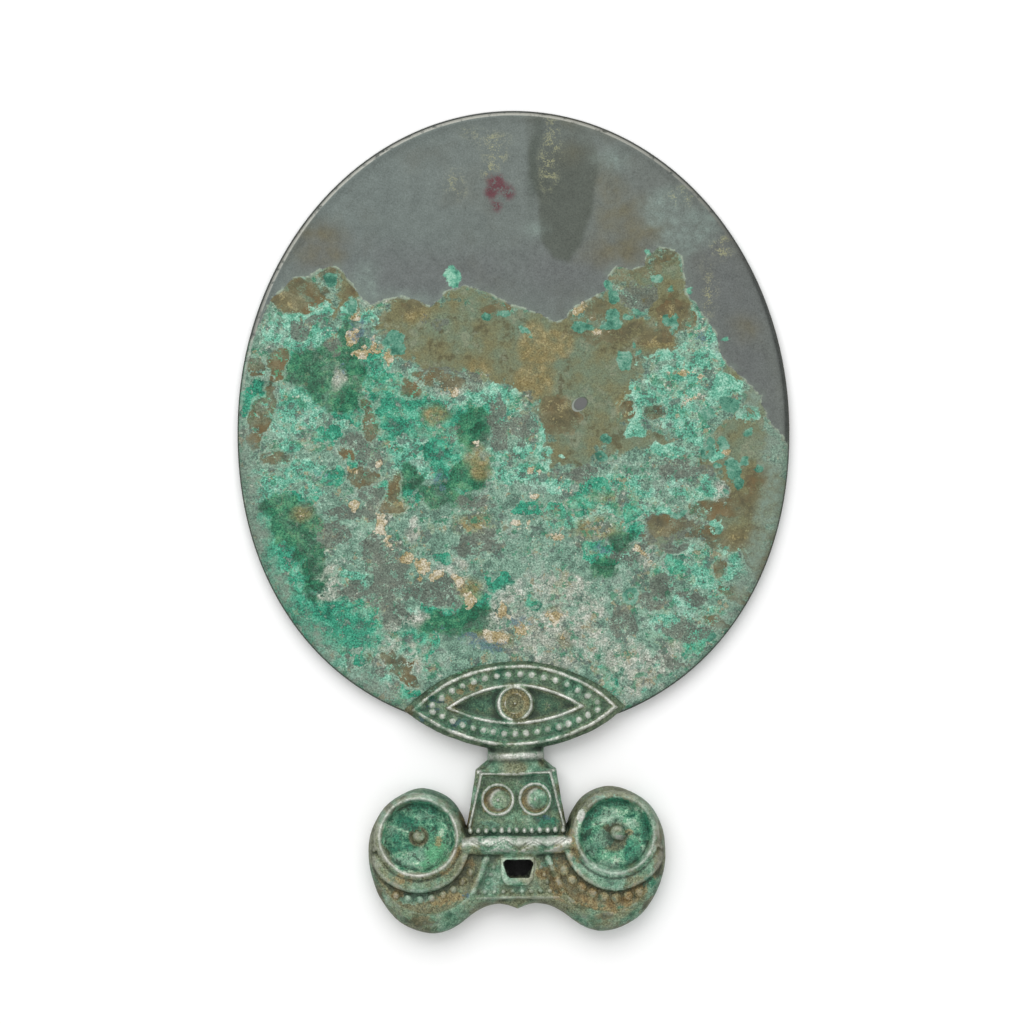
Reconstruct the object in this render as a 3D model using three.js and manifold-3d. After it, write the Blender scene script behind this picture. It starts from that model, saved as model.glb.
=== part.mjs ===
// An ancient bronze hand mirror, lying face up.
//
// Two castings make it: an oval disc, and a handle that clasps the disc's lower edge. From the disc down, the
// handle is an eye-shaped plate, a short neck, a block with two rings, a rolled bar, and a wide body that
// swells into two lobes, each with a dished cup on its front.
//
// Millimetres, +Z up. The origin is under the middle of the mirror, on the surface that it lies on.
import * as THREE from "three";
import { mergeVertices } from "three/addons/utils/BufferGeometryUtils.js";
import Module from "manifold-3d";

const wasm = await Module();
wasm.setup();

// ---------------------------------------------------------------------------------------------------------
// Driving dimensions. The disc is drawn about its own middle, with the disc's mid-plane at z = 0. The handle
// is drawn about the middle of its eye: u runs to the right and v towards the disc.
// ---------------------------------------------------------------------------------------------------------

const DISC = {
  halfWidth: 75,
  upperHeight: 87.1, // from the middle to the far edge
  lowerHeight: 81.7, // from the middle to the edge inside the handle
  lowerFullness: 2.15, // 2 is a true ellipse, and more is fuller at the shoulders
  halfThick: 1.1,
  lipHeight: 0.12, // the front's low lip, just inside the edge
  lipInset: 1.6, // from the rim to the lip's crest
  backInset: 0.9, // from the rim to where the back turns flat
};
// The disc's edge, from its back to its front: how far in from the rim, the height as a share of half the
// thickness, and the share of the lip's height on top of that.
const DISC_EDGE = [
  [DISC.backInset, -1, 0],
  [0, -0.35, 0],
  [0.25, 0.45, 0],
  [0.6 * DISC.lipInset, 1, 0.2],
  [DISC.lipInset, 1, 1],
  [2 * DISC.lipInset, 1, 0],
];
const DISC_SPOKES = 80;
const SLOT_GAP = 0.3; // play between the disc and the handle

const HANDLE_AT = new THREE.Vector3(0.41, -76, 0); // the eye's middle, from the disc's
const HANDLE_LEAN = THREE.MathUtils.degToRad(0.85); // the handle was fitted a little out of true

const EYE = {
  plate: { halfWidth: 30.1, tip: 0.6, top: 13.4, bottom: -10.5 },
  outerRidge: { halfWidth: 27.9, tip: 0.6, top: 12.5, bottom: -9.5 },
  beadLine: { halfWidth: 23.6, tip: 0.75, top: 9.9, bottom: -6.2 },
  innerRidge: { halfWidth: 18.9, tip: 0.9, top: 7.3, bottom: -3.8 },
  ridgeWidth: 1.0,
  ridgeRounding: 0.3,
  arcSteps: 14,
  upperBeads: 16,
  lowerBeads: 17,
  beadRadius: 0.8,
  beadTop: 3.7,
  root: 1.7, // how low the ridges reach inside the plate
  field: 2.9,
  outerTop: 3.8,
  innerTop: 3.7,
  back: -2.7,
  backFront: 0.6,
  backTop: 6.5, // the plain back cheek stops short of the front one
  edgeRounding: 0.5,
};
const IRIS = { v: 1.9, radius: 4.7, width: 1.1, top: 3.95, spokes: 24 };
const PUPIL = { radius: 2.75, width: 0.6, top: 3.45, spokes: 16, dot: 0.8, dotTop: 3.4 };

const NECK = { waist: 7.55, top: -9.6, waistFoot: -13.1, shoulder: 9.7, shoulderV: -14.9, root: -17.5 };
const NECK_ROLL = { v: -12.25, half: 6.5, thick: 1.05, sides: 6 };
// The neck and its roll are turned and then flattened. These are their depths as shares of their widths.
const NECK_DEPTH = { spokes: 20, neck: 0.46, roll: 0.57 };

const BLOCK = {
  top: -15.8,
  bottom: -37, // under the bar
  topHalf: 10.8,
  bottomHalf: 14.4,
  root: 3,
  field: 4,
  ridge: 5.2,
  back: -3.9,
  ridgeWidth: 0.95,
  ridgeRounding: 0.25,
  frameTop: -16.9,
  frameBottom: -31,
  frameTopHalf: 9.3,
  frameBottomHalf: 12.7,
  edgeRounding: 0.9,
};
const BLOCK_RING = { u: 5.1, v: -23.95, radius: 4.15, width: 0.8, top: 4.95, spokes: 20, dot: 0.75 };
const BUTTON = { radius: 2.5, top: 4.45, rounding: 0.2, sides: 14 };
const BLOCK_BEADS = { count: 13, v: -32.4, spacing: 2.09, radius: 0.72, top: 5.1 };

const BAR = { v: -36.9, halfHeight: 2.65, halfLength: 15.3, centre: 3.2, top: 6.6, sides: 14 };
const ZIGZAG = { shift: 0.3, halfPeriod: 4.075, amplitude: 1.2, width: 0.75, floor: 5.85, steps: 3 };

// The right half of the lower body's outline, from the middle of its foot round the lobe to under the bar.
const BODY_HALF = [
  [0, -52.3],
  [4.8, -52.3],
  [8.5, -52.9],
  [12, -54.7],
  [15.3, -57.2],
  [19, -59.2],
  [23.5, -60],
  [29, -58.5],
  [34.5, -54.5],
  [38.4, -48],
  [40.2, -40],
  [39.3, -32],
  [35, -25],
  [26.5, -20.7],
  [18.8, -22.9],
  [14.7, -27.8],
  [12.8, -32.4],
  [8, -35],
  [0, -35],
];
const BODY = { front: 4.8, back: -5.2, roundingIn: 4.8, roundingDeep: 4.5, steps: 3, halfPoints: 36 };
const NIB = { foot: -53.6, halfWidth: 4.2, shoulder: -52, root: -49, front: 3.4, back: -3.6, rounding: 1.5 };
const LOBE_CENTRE = { u: 25.2, v: -41 };
// Radius and height of the swelling on a lobe's back, from its lowest face up.
const LOBE_BACK = [
  [0, -6],
  [6.5, -6],
  [13.2, -4.6],
  [13.2, -3],
  [0, -3],
];
const LOBE_SPOKES = 24;

const CUP = { u: 26.6, v: -33.7, cut: 11.2, cutFloor: 2.6 };
// Radius and height, from the cup's hidden underside, out and over the rim, to the boss in its middle.
const CUP_PROFILE = [
  [0, 2],
  [11.5, 2],
  [11.4, 5.8],
  [10.6, 7.05],
  [9.9, 6.6],
  [8.9, 4.9],
  [6.2, 3.9],
  [3.2, 3.6],
  [2.8, 4.1],
  [1.7, 4.1],
  [1.1, 5],
  [0, 5.25],
];
const CUP_SPOKES = 30;
// The collar under each cup: the arc where its outer edge runs, and the circle of its inner edge.
const COLLAR = { radius: 14, drop: 1.3, innerRadius: 12.2, from: -172, to: -12, steps: 14, low: 1, top: 6.2 };
// The collars' own edges, and the rounded body that they are trimmed to where they near the outline.
const COLLAR_TRIM = { edge: 0.7, rise: 0.2, out: -0.4, in: 4.4, deep: 5.4 };
const BEAD_FIELD = { radius: 14.6, inward: 2.45, drop: 6.24, floor: 4.15, sides: 28 };
// The beads round a lobe, on an arc about its cup, with angles in degrees. The left lobe's are smaller.
const LOBE_BEADS = { count: 8, first: -145, step: 11, fromCup: 17, right: 1.25, left: 0.95, top: 5 };

const PANEL_GROUND = { top: -39, bottom: -50.1, topHalf: 9.95, bottomHalf: 12.85, floor: 4.15, root: 3.15 };
const PANEL_RIB = { top: -40, bottom: -49.4, topHalf: 8.35, bottomHalf: 12.35, width: 1.2, height: 5.2 };
const PANEL_LINE = { v: -50.5, halfLength: 11.2, width: 0.75, height: 4.8, rounding: 0.2 };
const PANEL_COLUMN = { u: 6.4, v: -42.2, du: 0.8, dv: -2.1, count: 3 };
const PANEL_ROW = { v: -48.8, halfLength: 8.75, count: 8 };
const PANEL_BEAD = { radius: 0.75, top: 5 };
const PAD = {
  top: -39.4,
  topHalf: 4.7,
  lower: -45.6,
  lowerHalf: 4.3,
  foot: -47.5,
  footHalf: 2.9,
  height: 5.05,
};
const PANEL_ROUNDING = 0.25; // of the ribs and the pad
const MOUTH = { u: 0.3, top: -40.05, bottom: -45.35, topHalf: 4.25, bottomHalf: 3.25, corner: 1, floor: 1.2 };
const HOLLOW = { halfWidth: 5.5, top: -39, bottom: -46.5, floor: -3, roof: 2.2 };

// A small ring stands on a foot this deep in the metal, and its shoulders are this far under its crest.
const RING_SECTION = { foot: 1.5, shoulder: 0.45 };
// A bead's foot is this deep under its crown, and wider than the bead. Its crown is narrower.
const BEAD_SECTION = { foot: 1.6, footShare: 1.15, crownShare: 0.7, crownDrop: 0.2, sides: 6 };
const ABOVE_ALL = BAR.top + 2; // cuts from the front start here
const SAME_POINT = 1e-4;

// The handle's lobes stand lower than the disc's back, so the mirror lies on them and on its far edge.
const REST_DEPTH = 5.85;
const REST_CUT = { width: 120, length: 60, depth: 8 };

const DISC_BRONZE = { color: 0x5d7f70, roughness: 0.55, metalness: 0.6 };
const HANDLE_BRONZE = { color: 0x5a7663, roughness: 0.5, metalness: 0.6 };

// ---------------------------------------------------------------------------------------------------------
// Making solids
// ---------------------------------------------------------------------------------------------------------

// A closed geometry as a solid that can be joined and cut. Faces without area, which a turned shape has at
// its axis, are left out.
function solidOf(geometry) {
  const bare = geometry.index ? geometry.toNonIndexed() : geometry.clone();
  bare.deleteAttribute("normal");
  bare.deleteAttribute("uv");
  const merged = mergeVertices(bare, SAME_POINT);
  const corners = [];
  for (let i = 0; i < merged.index.count; i += 3) {
    const [a, b, c] = [0, 1, 2].map((k) => merged.index.getX(i + k));
    if (a !== b && b !== c && c !== a) corners.push(a, b, c);
  }
  return new wasm.Manifold(
    new wasm.Mesh({
      numProp: 3,
      vertProperties: merged.attributes.position.array,
      triVerts: new Uint32Array(corners),
    }),
  );
}

function geometryOf(solid) {
  const { numProp, vertProperties, triVerts } = solid.getMesh();
  const corners = new Float32Array(triVerts.length * 3);
  triVerts.forEach((vertex, i) => {
    const at = vertex * numProp;
    corners.set(vertProperties.subarray(at, at + 3), i * 3);
  });
  const geometry = new THREE.BufferGeometry().setAttribute("position", new THREE.BufferAttribute(corners, 3));
  geometry.computeVertexNormals();
  return geometry;
}

const joined = (solids) => solids.reduce((whole, next) => whole.add(next));

const vectors = (pairs) => pairs.map(([x, y]) => new THREE.Vector2(x, y));

const mirrored = (pairs) => pairs.map(([x, y]) => [-x, y]);

// A plate with the given outline, and holes if it has any, between two heights. Its edges are rounded off.
function plate(outline, low, high, rounding = 0, holes = []) {
  const shape = new THREE.Shape(vectors(outline));
  shape.holes = holes.map((hole) => new THREE.Path(vectors(hole)));
  const geometry = new THREE.ExtrudeGeometry(shape, {
    depth: high - low - 2 * rounding,
    bevelEnabled: rounding > 0,
    bevelThickness: rounding,
    bevelSize: rounding,
    bevelOffset: -rounding,
    bevelSegments: 1,
    curveSegments: 1,
  });
  return solidOf(geometry.translate(0, 0, low + rounding));
}

// A solid turned about an upright axis from pairs of radius and height, which run from its foot to its top.
function turned(profile, spokes, u = 0, v = 0) {
  const geometry = new THREE.LatheGeometry(vectors(profile), spokes);
  return solidOf(geometry.rotateX(Math.PI / 2).translate(u, v, 0));
}

// A turned solid that is stretched to an outline: its profile gives shares of the way from the middle to the
// edge, and each of its spokes ends at one point of the outline.
function stretched(profile, outline, middle) {
  const geometry = new THREE.LatheGeometry(vectors(profile), outline.length);
  const place = geometry.attributes.position;
  for (let i = 0; i < place.count; i++) {
    const edge = outline[Math.floor(i / profile.length) % outline.length];
    const [share, height] = profile[i % profile.length];
    const at = middle.clone().lerp(edge, share);
    place.setXYZ(i, at.x, at.y, height);
  }
  return solidOf(geometry);
}

function circle(u, v, radius, sides) {
  return Array.from({ length: sides }, (_, k) => {
    const angle = (2 * Math.PI * k) / sides;
    return [u + radius * Math.cos(angle), v + radius * Math.sin(angle)];
  });
}

// A low round ridge on a circle.
function ringRidge(u, v, { radius, width, top, spokes }) {
  const foot = top - RING_SECTION.foot;
  const shoulder = top - RING_SECTION.shoulder;
  const section = [
    [radius - width / 2, foot],
    [radius + width / 2, foot],
    [radius + width / 2, shoulder],
    [radius + width / 4, top],
    [radius - width / 4, top],
    [radius - width / 2, shoulder],
    [radius - width / 2, foot],
  ];
  return turned(section, spokes, u, v);
}

// A round-topped bead, which stands on a foot inside the metal under it.
function bead(u, v, radius, top) {
  const { foot, footShare, crownShare, crownDrop, sides } = BEAD_SECTION;
  const profile = [
    [0, top - foot],
    [footShare * radius, top - foot],
    [crownShare * radius, top - crownDrop * radius],
    [0, top],
  ];
  return turned(profile, sides, u, v);
}

// ---------------------------------------------------------------------------------------------------------
// The disc
// ---------------------------------------------------------------------------------------------------------

// The disc's edge: an ellipse on the far half, and a slightly squarer one on the handle's half.
function discOutline(grow) {
  return Array.from({ length: DISC_SPOKES }, (_, k) => {
    const angle = (2 * Math.PI * k) / DISC_SPOKES;
    const upper = angle <= Math.PI;
    const power = upper ? 2 : DISC.lowerFullness;
    const height = (upper ? DISC.upperHeight : DISC.lowerHeight) + grow;
    const across = Math.abs(Math.cos(angle)) / (DISC.halfWidth + grow);
    const along = Math.abs(Math.sin(angle)) / height;
    const radius = (across ** power + along ** power) ** (-1 / power);
    return new THREE.Vector2(radius * Math.cos(angle), radius * Math.sin(angle));
  });
}

const insetShare = (inset) => 1 - inset / DISC.halfWidth;

// The disc, or with grow the space that it takes up with play all round.
function discSolid(grow = 0) {
  const face = DISC.halfThick + grow;
  const heightOf = (share, lip) => share * face + lip * DISC.lipHeight;
  const edge = DISC_EDGE.map(([inset, share, lip]) => [insetShare(inset), heightOf(share, lip)]);
  return stretched([[0, -face], ...edge, [0, face]], discOutline(grow), new THREE.Vector2());
}

// ---------------------------------------------------------------------------------------------------------
// The handle's eye, neck and block
// ---------------------------------------------------------------------------------------------------------

// Points evenly along an arc that spans from +half to -half in u. Its ends are at chordV and its crest is at
// crestV. A start of 0 puts the first point at the arc's end, and 0.5 in the middle of the first step.
function arcPoints(half, chordV, crestV, count, start = 0) {
  const rise = crestV - chordV;
  const radius = (half ** 2 + rise ** 2) / (2 * rise);
  const sweep = Math.asin(half / radius);
  return Array.from({ length: count }, (_, k) => {
    const angle = sweep * (1 - (2 * (k + start)) / count);
    return [radius * Math.sin(angle), crestV - radius * (1 - Math.cos(angle))];
  });
}

// The outline of an eye: an upper arc from its right corner to its left one, and a lower arc back.
function eyeOutline({ halfWidth, tip, top, bottom }) {
  const steps = EYE.arcSteps;
  return [...arcPoints(halfWidth, tip, top, steps), ...arcPoints(-halfWidth, tip, bottom, steps)];
}

// A ridge along the outline of an eye.
function eyeRidge(eye, high) {
  const { ridgeWidth: width, root, ridgeRounding } = EYE;
  const cornerSlip = 1.5; // a corner of the eye moves in by this much for each millimetre that its arcs do
  const inner = {
    halfWidth: eye.halfWidth - cornerSlip * width,
    tip: eye.tip,
    top: eye.top - width,
    bottom: eye.bottom + width,
  };
  return plate(eyeOutline(eye), root, high, ridgeRounding, [eyeOutline(inner)]);
}

function eyePlate() {
  const line = EYE.beadLine;
  const beadPlaces = [
    ...arcPoints(line.halfWidth, line.tip, line.top, EYE.upperBeads, 0.5),
    ...arcPoints(-line.halfWidth, line.tip, line.bottom, EYE.lowerBeads, 0.5),
  ];
  return joined([
    plate(eyeOutline(EYE.plate), 0, EYE.field, EYE.edgeRounding),
    plate(eyeOutline({ ...EYE.plate, top: EYE.backTop }), EYE.back, EYE.backFront, EYE.edgeRounding),
    eyeRidge(EYE.outerRidge, EYE.outerTop),
    eyeRidge(EYE.innerRidge, EYE.innerTop),
    ringRidge(0, IRIS.v, IRIS),
    ringRidge(0, IRIS.v, PUPIL),
    bead(0, IRIS.v, PUPIL.dot, PUPIL.dotTop),
    ...beadPlaces.map(([u, v]) => bead(u, v, EYE.beadRadius, EYE.beadTop)),
  ]);
}

// A solid turned about v from pairs of half-width and v, and flattened to the given share of its width.
function flatTurned(profile, depthShare) {
  return solidOf(new THREE.LatheGeometry(vectors(profile), NECK_DEPTH.spokes).scale(1, 1, depthShare));
}

// The neck and the shoulders under it, with a roll round the waist.
function neck() {
  const profile = [
    [0, NECK.root],
    [BLOCK.topHalf, NECK.root],
    [BLOCK.topHalf, BLOCK.top],
    [NECK.shoulder, NECK.shoulderV],
    [NECK.waist, NECK.waistFoot],
    [NECK.waist, NECK.top],
    [0, NECK.top],
  ];
  const roll = circle(NECK_ROLL.half, NECK_ROLL.v, NECK_ROLL.thick, NECK_ROLL.sides);
  return flatTurned(profile, NECK_DEPTH.neck).add(flatTurned([...roll, roll[0]], NECK_DEPTH.roll));
}

function block() {
  const { top, bottom, topHalf, bottomHalf, frameTop, frameBottom, frameTopHalf, frameBottomHalf } = BLOCK;
  const right = [
    [bottomHalf, bottom],
    [topHalf, top],
  ];
  const body = [...right, ...mirrored(right).reverse()];
  const half = BLOCK.ridgeWidth / 2;
  const frameRight = [
    [frameBottomHalf - half, frameBottom],
    [frameBottomHalf + half, frameBottom],
    [frameTopHalf + half, frameTop + half],
  ];
  const frame = [
    ...frameRight,
    ...mirrored(frameRight).reverse(),
    [half - frameTopHalf, frameTop - half],
    [frameTopHalf - half, frameTop - half],
  ];
  const { u, v } = BLOCK_RING;
  const rings = [-u, u].flatMap((at) => [
    ringRidge(at, v, BLOCK_RING),
    plate(circle(at, v, BUTTON.radius, BUTTON.sides), BLOCK.root, BUTTON.top, BUTTON.rounding),
    bead(at, v, BLOCK_RING.dot, BLOCK_RING.top),
  ]);
  const beads = Array.from({ length: BLOCK_BEADS.count }, (_, k) => {
    const along = (k - (BLOCK_BEADS.count - 1) / 2) * BLOCK_BEADS.spacing;
    return bead(along, BLOCK_BEADS.v, BLOCK_BEADS.radius, BLOCK_BEADS.top);
  });
  return joined([
    plate(body, BLOCK.back, BLOCK.field, BLOCK.edgeRounding),
    plate(frame, BLOCK.root, BLOCK.ridge, BLOCK.ridgeRounding),
    ...rings,
    ...beads,
  ]);
}

// A roll across the handle, with a zigzag cut along its crest.
function bar() {
  const rise = BAR.top - BAR.centre;
  const section = circle(0, 0, 1, BAR.sides).map(([x, y]) => [x * BAR.halfHeight, y * rise]);
  const geometry = new THREE.ExtrudeGeometry(new THREE.Shape(vectors(section)), {
    depth: 2 * BAR.halfLength,
    bevelEnabled: false,
  });
  // The section's x becomes -v, its y stays height, and the sweep runs along u.
  const turn = new THREE.Matrix4().makeBasis(
    new THREE.Vector3(0, -1, 0),
    new THREE.Vector3(0, 0, 1),
    new THREE.Vector3(-1, 0, 0),
  );
  geometry.translate(0, 0, -BAR.halfLength).applyMatrix4(turn).translate(0, BAR.v, BAR.centre);
  const { shift, halfPeriod, amplitude, width, floor, steps } = ZIGZAG;
  const turns = Array.from({ length: 2 * steps + 1 }, (_, k) => {
    const step = k - steps;
    return [shift + step * halfPeriod, BAR.v + (step % 2 ? amplitude : -amplitude)];
  });
  const lowerEdge = turns.map(([u, v]) => [u, v - width / 2]);
  const upperEdge = turns.map(([u, v]) => [u, v + width / 2]).reverse();
  return solidOf(geometry).subtract(plate([...lowerEdge, ...upperEdge], floor, ABOVE_ALL));
}

// ---------------------------------------------------------------------------------------------------------
// The lower body: two lobes with their cups, and the bridge and panel between them
// ---------------------------------------------------------------------------------------------------------

const bodyOutline = (() => {
  const curve = new THREE.SplineCurve(vectors(BODY_HALF));
  const right = curve.getSpacedPoints(BODY.halfPoints).map(({ x, y }) => [x, y]);
  return [...right, ...mirrored(right.slice(1, -1)).reverse()];
})();

// A solid within the body's outline, whose edge is rounded along a quarter of an ellipse at both faces.
function roundedBody(low, high, roundingIn, roundingDeep, grow = 0) {
  const geometry = new THREE.ExtrudeGeometry(new THREE.Shape(vectors(bodyOutline)), {
    depth: high - low - 2 * roundingDeep,
    bevelEnabled: true,
    bevelThickness: roundingDeep,
    bevelSize: roundingIn,
    bevelOffset: grow - roundingIn,
    bevelSegments: BODY.steps,
  });
  return solidOf(geometry.translate(0, 0, low + roundingDeep));
}

function nib() {
  const { foot, halfWidth, shoulder, root, front, back, rounding } = NIB;
  const outline = [
    [0, foot],
    [halfWidth, shoulder],
    [0, root],
    [-halfWidth, shoulder],
  ];
  return plate(outline, back, front, rounding);
}

// Points round part of a circle, between two angles in degrees.
function arc(u, v, radius, from, to, steps) {
  return Array.from({ length: steps + 1 }, (_, k) => {
    const angle = THREE.MathUtils.degToRad(from + ((to - from) * k) / steps);
    return [u + radius * Math.cos(angle), v + radius * Math.sin(angle)];
  });
}

// The collar that hugs a cup from below. It follows the body's rounding where it nears the outline.
function collar(side) {
  const { radius, drop, innerRadius, from, to, steps, low, top } = COLLAR;
  const outer = arc(CUP.u, CUP.v - drop, radius, from, to, steps);
  const inner = arc(CUP.u, CUP.v, innerRadius, to, from, steps);
  const outline = [...outer, ...inner];
  const crescent = side > 0 ? outline : mirrored(outline).reverse();
  const { edge, rise, out, in: roundingIn, deep } = COLLAR_TRIM;
  const trim = roundedBody(top - 2 * deep, top + rise, roundingIn, deep, out);
  return plate(crescent, low, top, edge).intersect(trim);
}

const cupPlace = (side) => [side * CUP.u, CUP.v];

// The sunk ground of the beads round a collar, above a floor.
function beadField(side) {
  const u = side * (CUP.u - BEAD_FIELD.inward);
  const edge = circle(u, CUP.v - BEAD_FIELD.drop, BEAD_FIELD.radius, BEAD_FIELD.sides);
  return plate(edge, BEAD_FIELD.floor, ABOVE_ALL);
}

const dishCut = (side) => plate(circle(...cupPlace(side), CUP.cut, CUP_SPOKES), CUP.cutFloor, ABOVE_ALL);

const cup = (side) => turned(CUP_PROFILE, CUP_SPOKES, ...cupPlace(side));

const lobeBack = (side) => turned(LOBE_BACK, LOBE_SPOKES, side * LOBE_CENTRE.u, LOBE_CENTRE.v);

function lowerBody() {
  const { front, back, roundingIn, roundingDeep } = BODY;
  const body = roundedBody(back, front, roundingIn, roundingDeep);
  const sunk = joined([body, nib(), lobeBack(1), lobeBack(-1)])
    .subtract(beadField(1))
    .subtract(beadField(-1))
    .subtract(panelGround());
  return joined([sunk, collar(1), collar(-1)])
    .subtract(dishCut(1))
    .subtract(dishCut(-1))
    .add(cup(1))
    .add(cup(-1));
}

function lobeBeads(side) {
  const { count, first, step, fromCup, right, left, top } = LOBE_BEADS;
  return Array.from({ length: count }, (_, k) => {
    const angle = THREE.MathUtils.degToRad(first + k * step);
    const u = side * (CUP.u + fromCup * Math.cos(angle));
    const v = CUP.v + fromCup * Math.sin(angle);
    return bead(u, v, side > 0 ? right : left, top);
  });
}

// The sunk ground of the panel, above its floor.
function panelGround() {
  const { top, bottom, topHalf, bottomHalf, floor } = PANEL_GROUND;
  const right = [
    [bottomHalf, bottom],
    [topHalf, top],
  ];
  return plate([...right, ...mirrored(right).reverse()], floor, ABOVE_ALL);
}

// The framed panel under the bar: side ridges, a line along its foot, beads, and the pad round the mouth.
function panel() {
  const { root } = PANEL_GROUND;
  const half = PANEL_RIB.width / 2;
  const rib = [
    [PANEL_RIB.bottomHalf - half, PANEL_RIB.bottom],
    [PANEL_RIB.bottomHalf + half, PANEL_RIB.bottom],
    [PANEL_RIB.topHalf + half, PANEL_RIB.top],
    [PANEL_RIB.topHalf - half, PANEL_RIB.top],
  ];
  const { v, halfLength, width } = PANEL_LINE;
  const line = [
    [-halfLength, v - width / 2],
    [halfLength, v - width / 2],
    [halfLength, v + width / 2],
    [-halfLength, v + width / 2],
  ];
  const padRight = [
    [PAD.footHalf, PAD.foot],
    [PAD.lowerHalf, PAD.lower],
    [PAD.topHalf, PAD.top],
  ];
  const columns = Array.from({ length: PANEL_COLUMN.count }, (_, k) => [
    PANEL_COLUMN.u + k * PANEL_COLUMN.du,
    PANEL_COLUMN.v + k * PANEL_COLUMN.dv,
  ]);
  const row = Array.from({ length: PANEL_ROW.count }, (_, k) => [
    PANEL_ROW.halfLength * ((2 * k) / (PANEL_ROW.count - 1) - 1),
    PANEL_ROW.v,
  ]);
  const beads = [...columns, ...mirrored(columns), ...row];
  return joined([
    plate(rib, root, PANEL_RIB.height, PANEL_ROUNDING),
    plate(mirrored(rib).reverse(), root, PANEL_RIB.height, PANEL_ROUNDING),
    plate(line, root, PANEL_LINE.height, PANEL_LINE.rounding),
    plate([...padRight, ...mirrored(padRight).reverse()], root, PAD.height, PANEL_ROUNDING),
    ...beads.map(([u, at]) => bead(u, at, PANEL_BEAD.radius, PANEL_BEAD.top)),
  ]);
}

// The mouth in the panel, and the blind hollow behind it.
function mouthAndHollow() {
  const { u, top, bottom, topHalf, bottomHalf, corner, floor } = MOUTH;
  const mouth = [
    [u - bottomHalf + corner, bottom],
    [u + bottomHalf - corner, bottom],
    [u + bottomHalf, bottom + corner],
    [u + topHalf, top - corner],
    [u + topHalf - corner, top],
    [u - topHalf + corner, top],
    [u - topHalf, top - corner],
    [u - bottomHalf, bottom + corner],
  ];
  const hollow = [
    [-HOLLOW.halfWidth, HOLLOW.bottom],
    [HOLLOW.halfWidth, HOLLOW.bottom],
    [HOLLOW.halfWidth, HOLLOW.top],
    [-HOLLOW.halfWidth, HOLLOW.top],
  ];
  return plate(mouth, floor, ABOVE_ALL).add(plate(hollow, HOLLOW.floor, HOLLOW.roof));
}

// ---------------------------------------------------------------------------------------------------------
// The mirror at rest
// ---------------------------------------------------------------------------------------------------------

const handlePlace = new THREE.Matrix4().makeRotationZ(HANDLE_LEAN).setPosition(HANDLE_AT);

// The plane that the mirror lies on touches the back of the disc's far edge and the lobes' backs.
const farRest = new THREE.Vector2(DISC.upperHeight * insetShare(DISC.backInset), -DISC.halfThick);
const lobeRest = new THREE.Vector2(HANDLE_AT.y + LOBE_CENTRE.v, -REST_DEPTH);
const REST_TILT = Math.atan2(farRest.y - lobeRest.y, farRest.x - lobeRest.x);

// Everything under the resting plane, to give the lobes their worn flats.
function belowRest() {
  const { width, length, depth } = REST_CUT;
  const geometry = new THREE.BoxGeometry(width, length, depth).translate(0, 0, -depth / 2);
  return geometry.rotateX(REST_TILT).translate(0, lobeRest.x, lobeRest.y);
}

function handleSolid() {
  const toHandle = handlePlace.clone().invert();
  const slot = geometryOf(discSolid(SLOT_GAP)).applyMatrix4(toHandle);
  const whole = joined([lowerBody(), neck(), block(), bar(), panel(), eyePlate()]);
  return joined([whole, ...lobeBeads(1), ...lobeBeads(-1)])
    .subtract(mouthAndHollow())
    .subtract(solidOf(slot))
    .subtract(solidOf(belowRest().applyMatrix4(toHandle)));
}

const bronze = (look) => new THREE.MeshStandardMaterial({ ...look, flatShading: true });

const disc = new THREE.Mesh(geometryOf(discSolid()), bronze(DISC_BRONZE));
disc.name = "mirror_disc";

const handle = new THREE.Mesh(geometryOf(handleSolid()), bronze(HANDLE_BRONZE));
handle.name = "handle";
handle.position.copy(HANDLE_AT);
handle.rotation.z = HANDLE_LEAN;

// Lying on its back, the mirror leans until it touches the surface, and the origin is under its middle.
const lying = new THREE.Group();
lying.add(disc, handle);
lying.rotation.x = -REST_TILT;
const box = new THREE.Box3().setFromObject(lying, true);
const middle = box.getCenter(new THREE.Vector3());
lying.position.set(-middle.x, -middle.y, -box.min.z);

const mirror = new THREE.Group();
mirror.add(lying);

export default mirror;
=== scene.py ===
# %% [markdown]
# # A bronze hand mirror, made from two castings
#
# The mirror is an oval disc of bronze that slides into a slot in a cast handle. Long years in the
# ground have covered most of it with copper salts. This lesson builds it in the order that a maker would:
# first where things lie, then the disc and its crusts, then the handle and its worn ridges, and last the
# finishes and light.
#
# The imported model gives the place and size of each casting, so it is loaded first, and the disc's box
# sets where the flat drawings come to lie. The finished mirror has to stay inside it.

import math

import bpy
import numpy as np
import openvdb
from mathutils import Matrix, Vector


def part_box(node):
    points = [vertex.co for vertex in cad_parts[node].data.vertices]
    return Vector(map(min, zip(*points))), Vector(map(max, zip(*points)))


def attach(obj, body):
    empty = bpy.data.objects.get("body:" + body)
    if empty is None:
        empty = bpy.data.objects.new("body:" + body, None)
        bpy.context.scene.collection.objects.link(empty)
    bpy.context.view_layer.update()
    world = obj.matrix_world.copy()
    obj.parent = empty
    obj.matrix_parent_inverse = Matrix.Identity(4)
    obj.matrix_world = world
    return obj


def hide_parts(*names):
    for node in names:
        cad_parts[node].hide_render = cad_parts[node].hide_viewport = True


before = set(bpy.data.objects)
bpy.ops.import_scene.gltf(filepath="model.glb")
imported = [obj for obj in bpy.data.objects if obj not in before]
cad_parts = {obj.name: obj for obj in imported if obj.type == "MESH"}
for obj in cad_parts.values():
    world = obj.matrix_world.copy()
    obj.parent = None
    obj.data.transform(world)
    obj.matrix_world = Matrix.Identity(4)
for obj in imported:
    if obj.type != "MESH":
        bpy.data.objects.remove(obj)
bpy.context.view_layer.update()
MM = 0.001
print("castings:", sorted(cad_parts))

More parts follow.
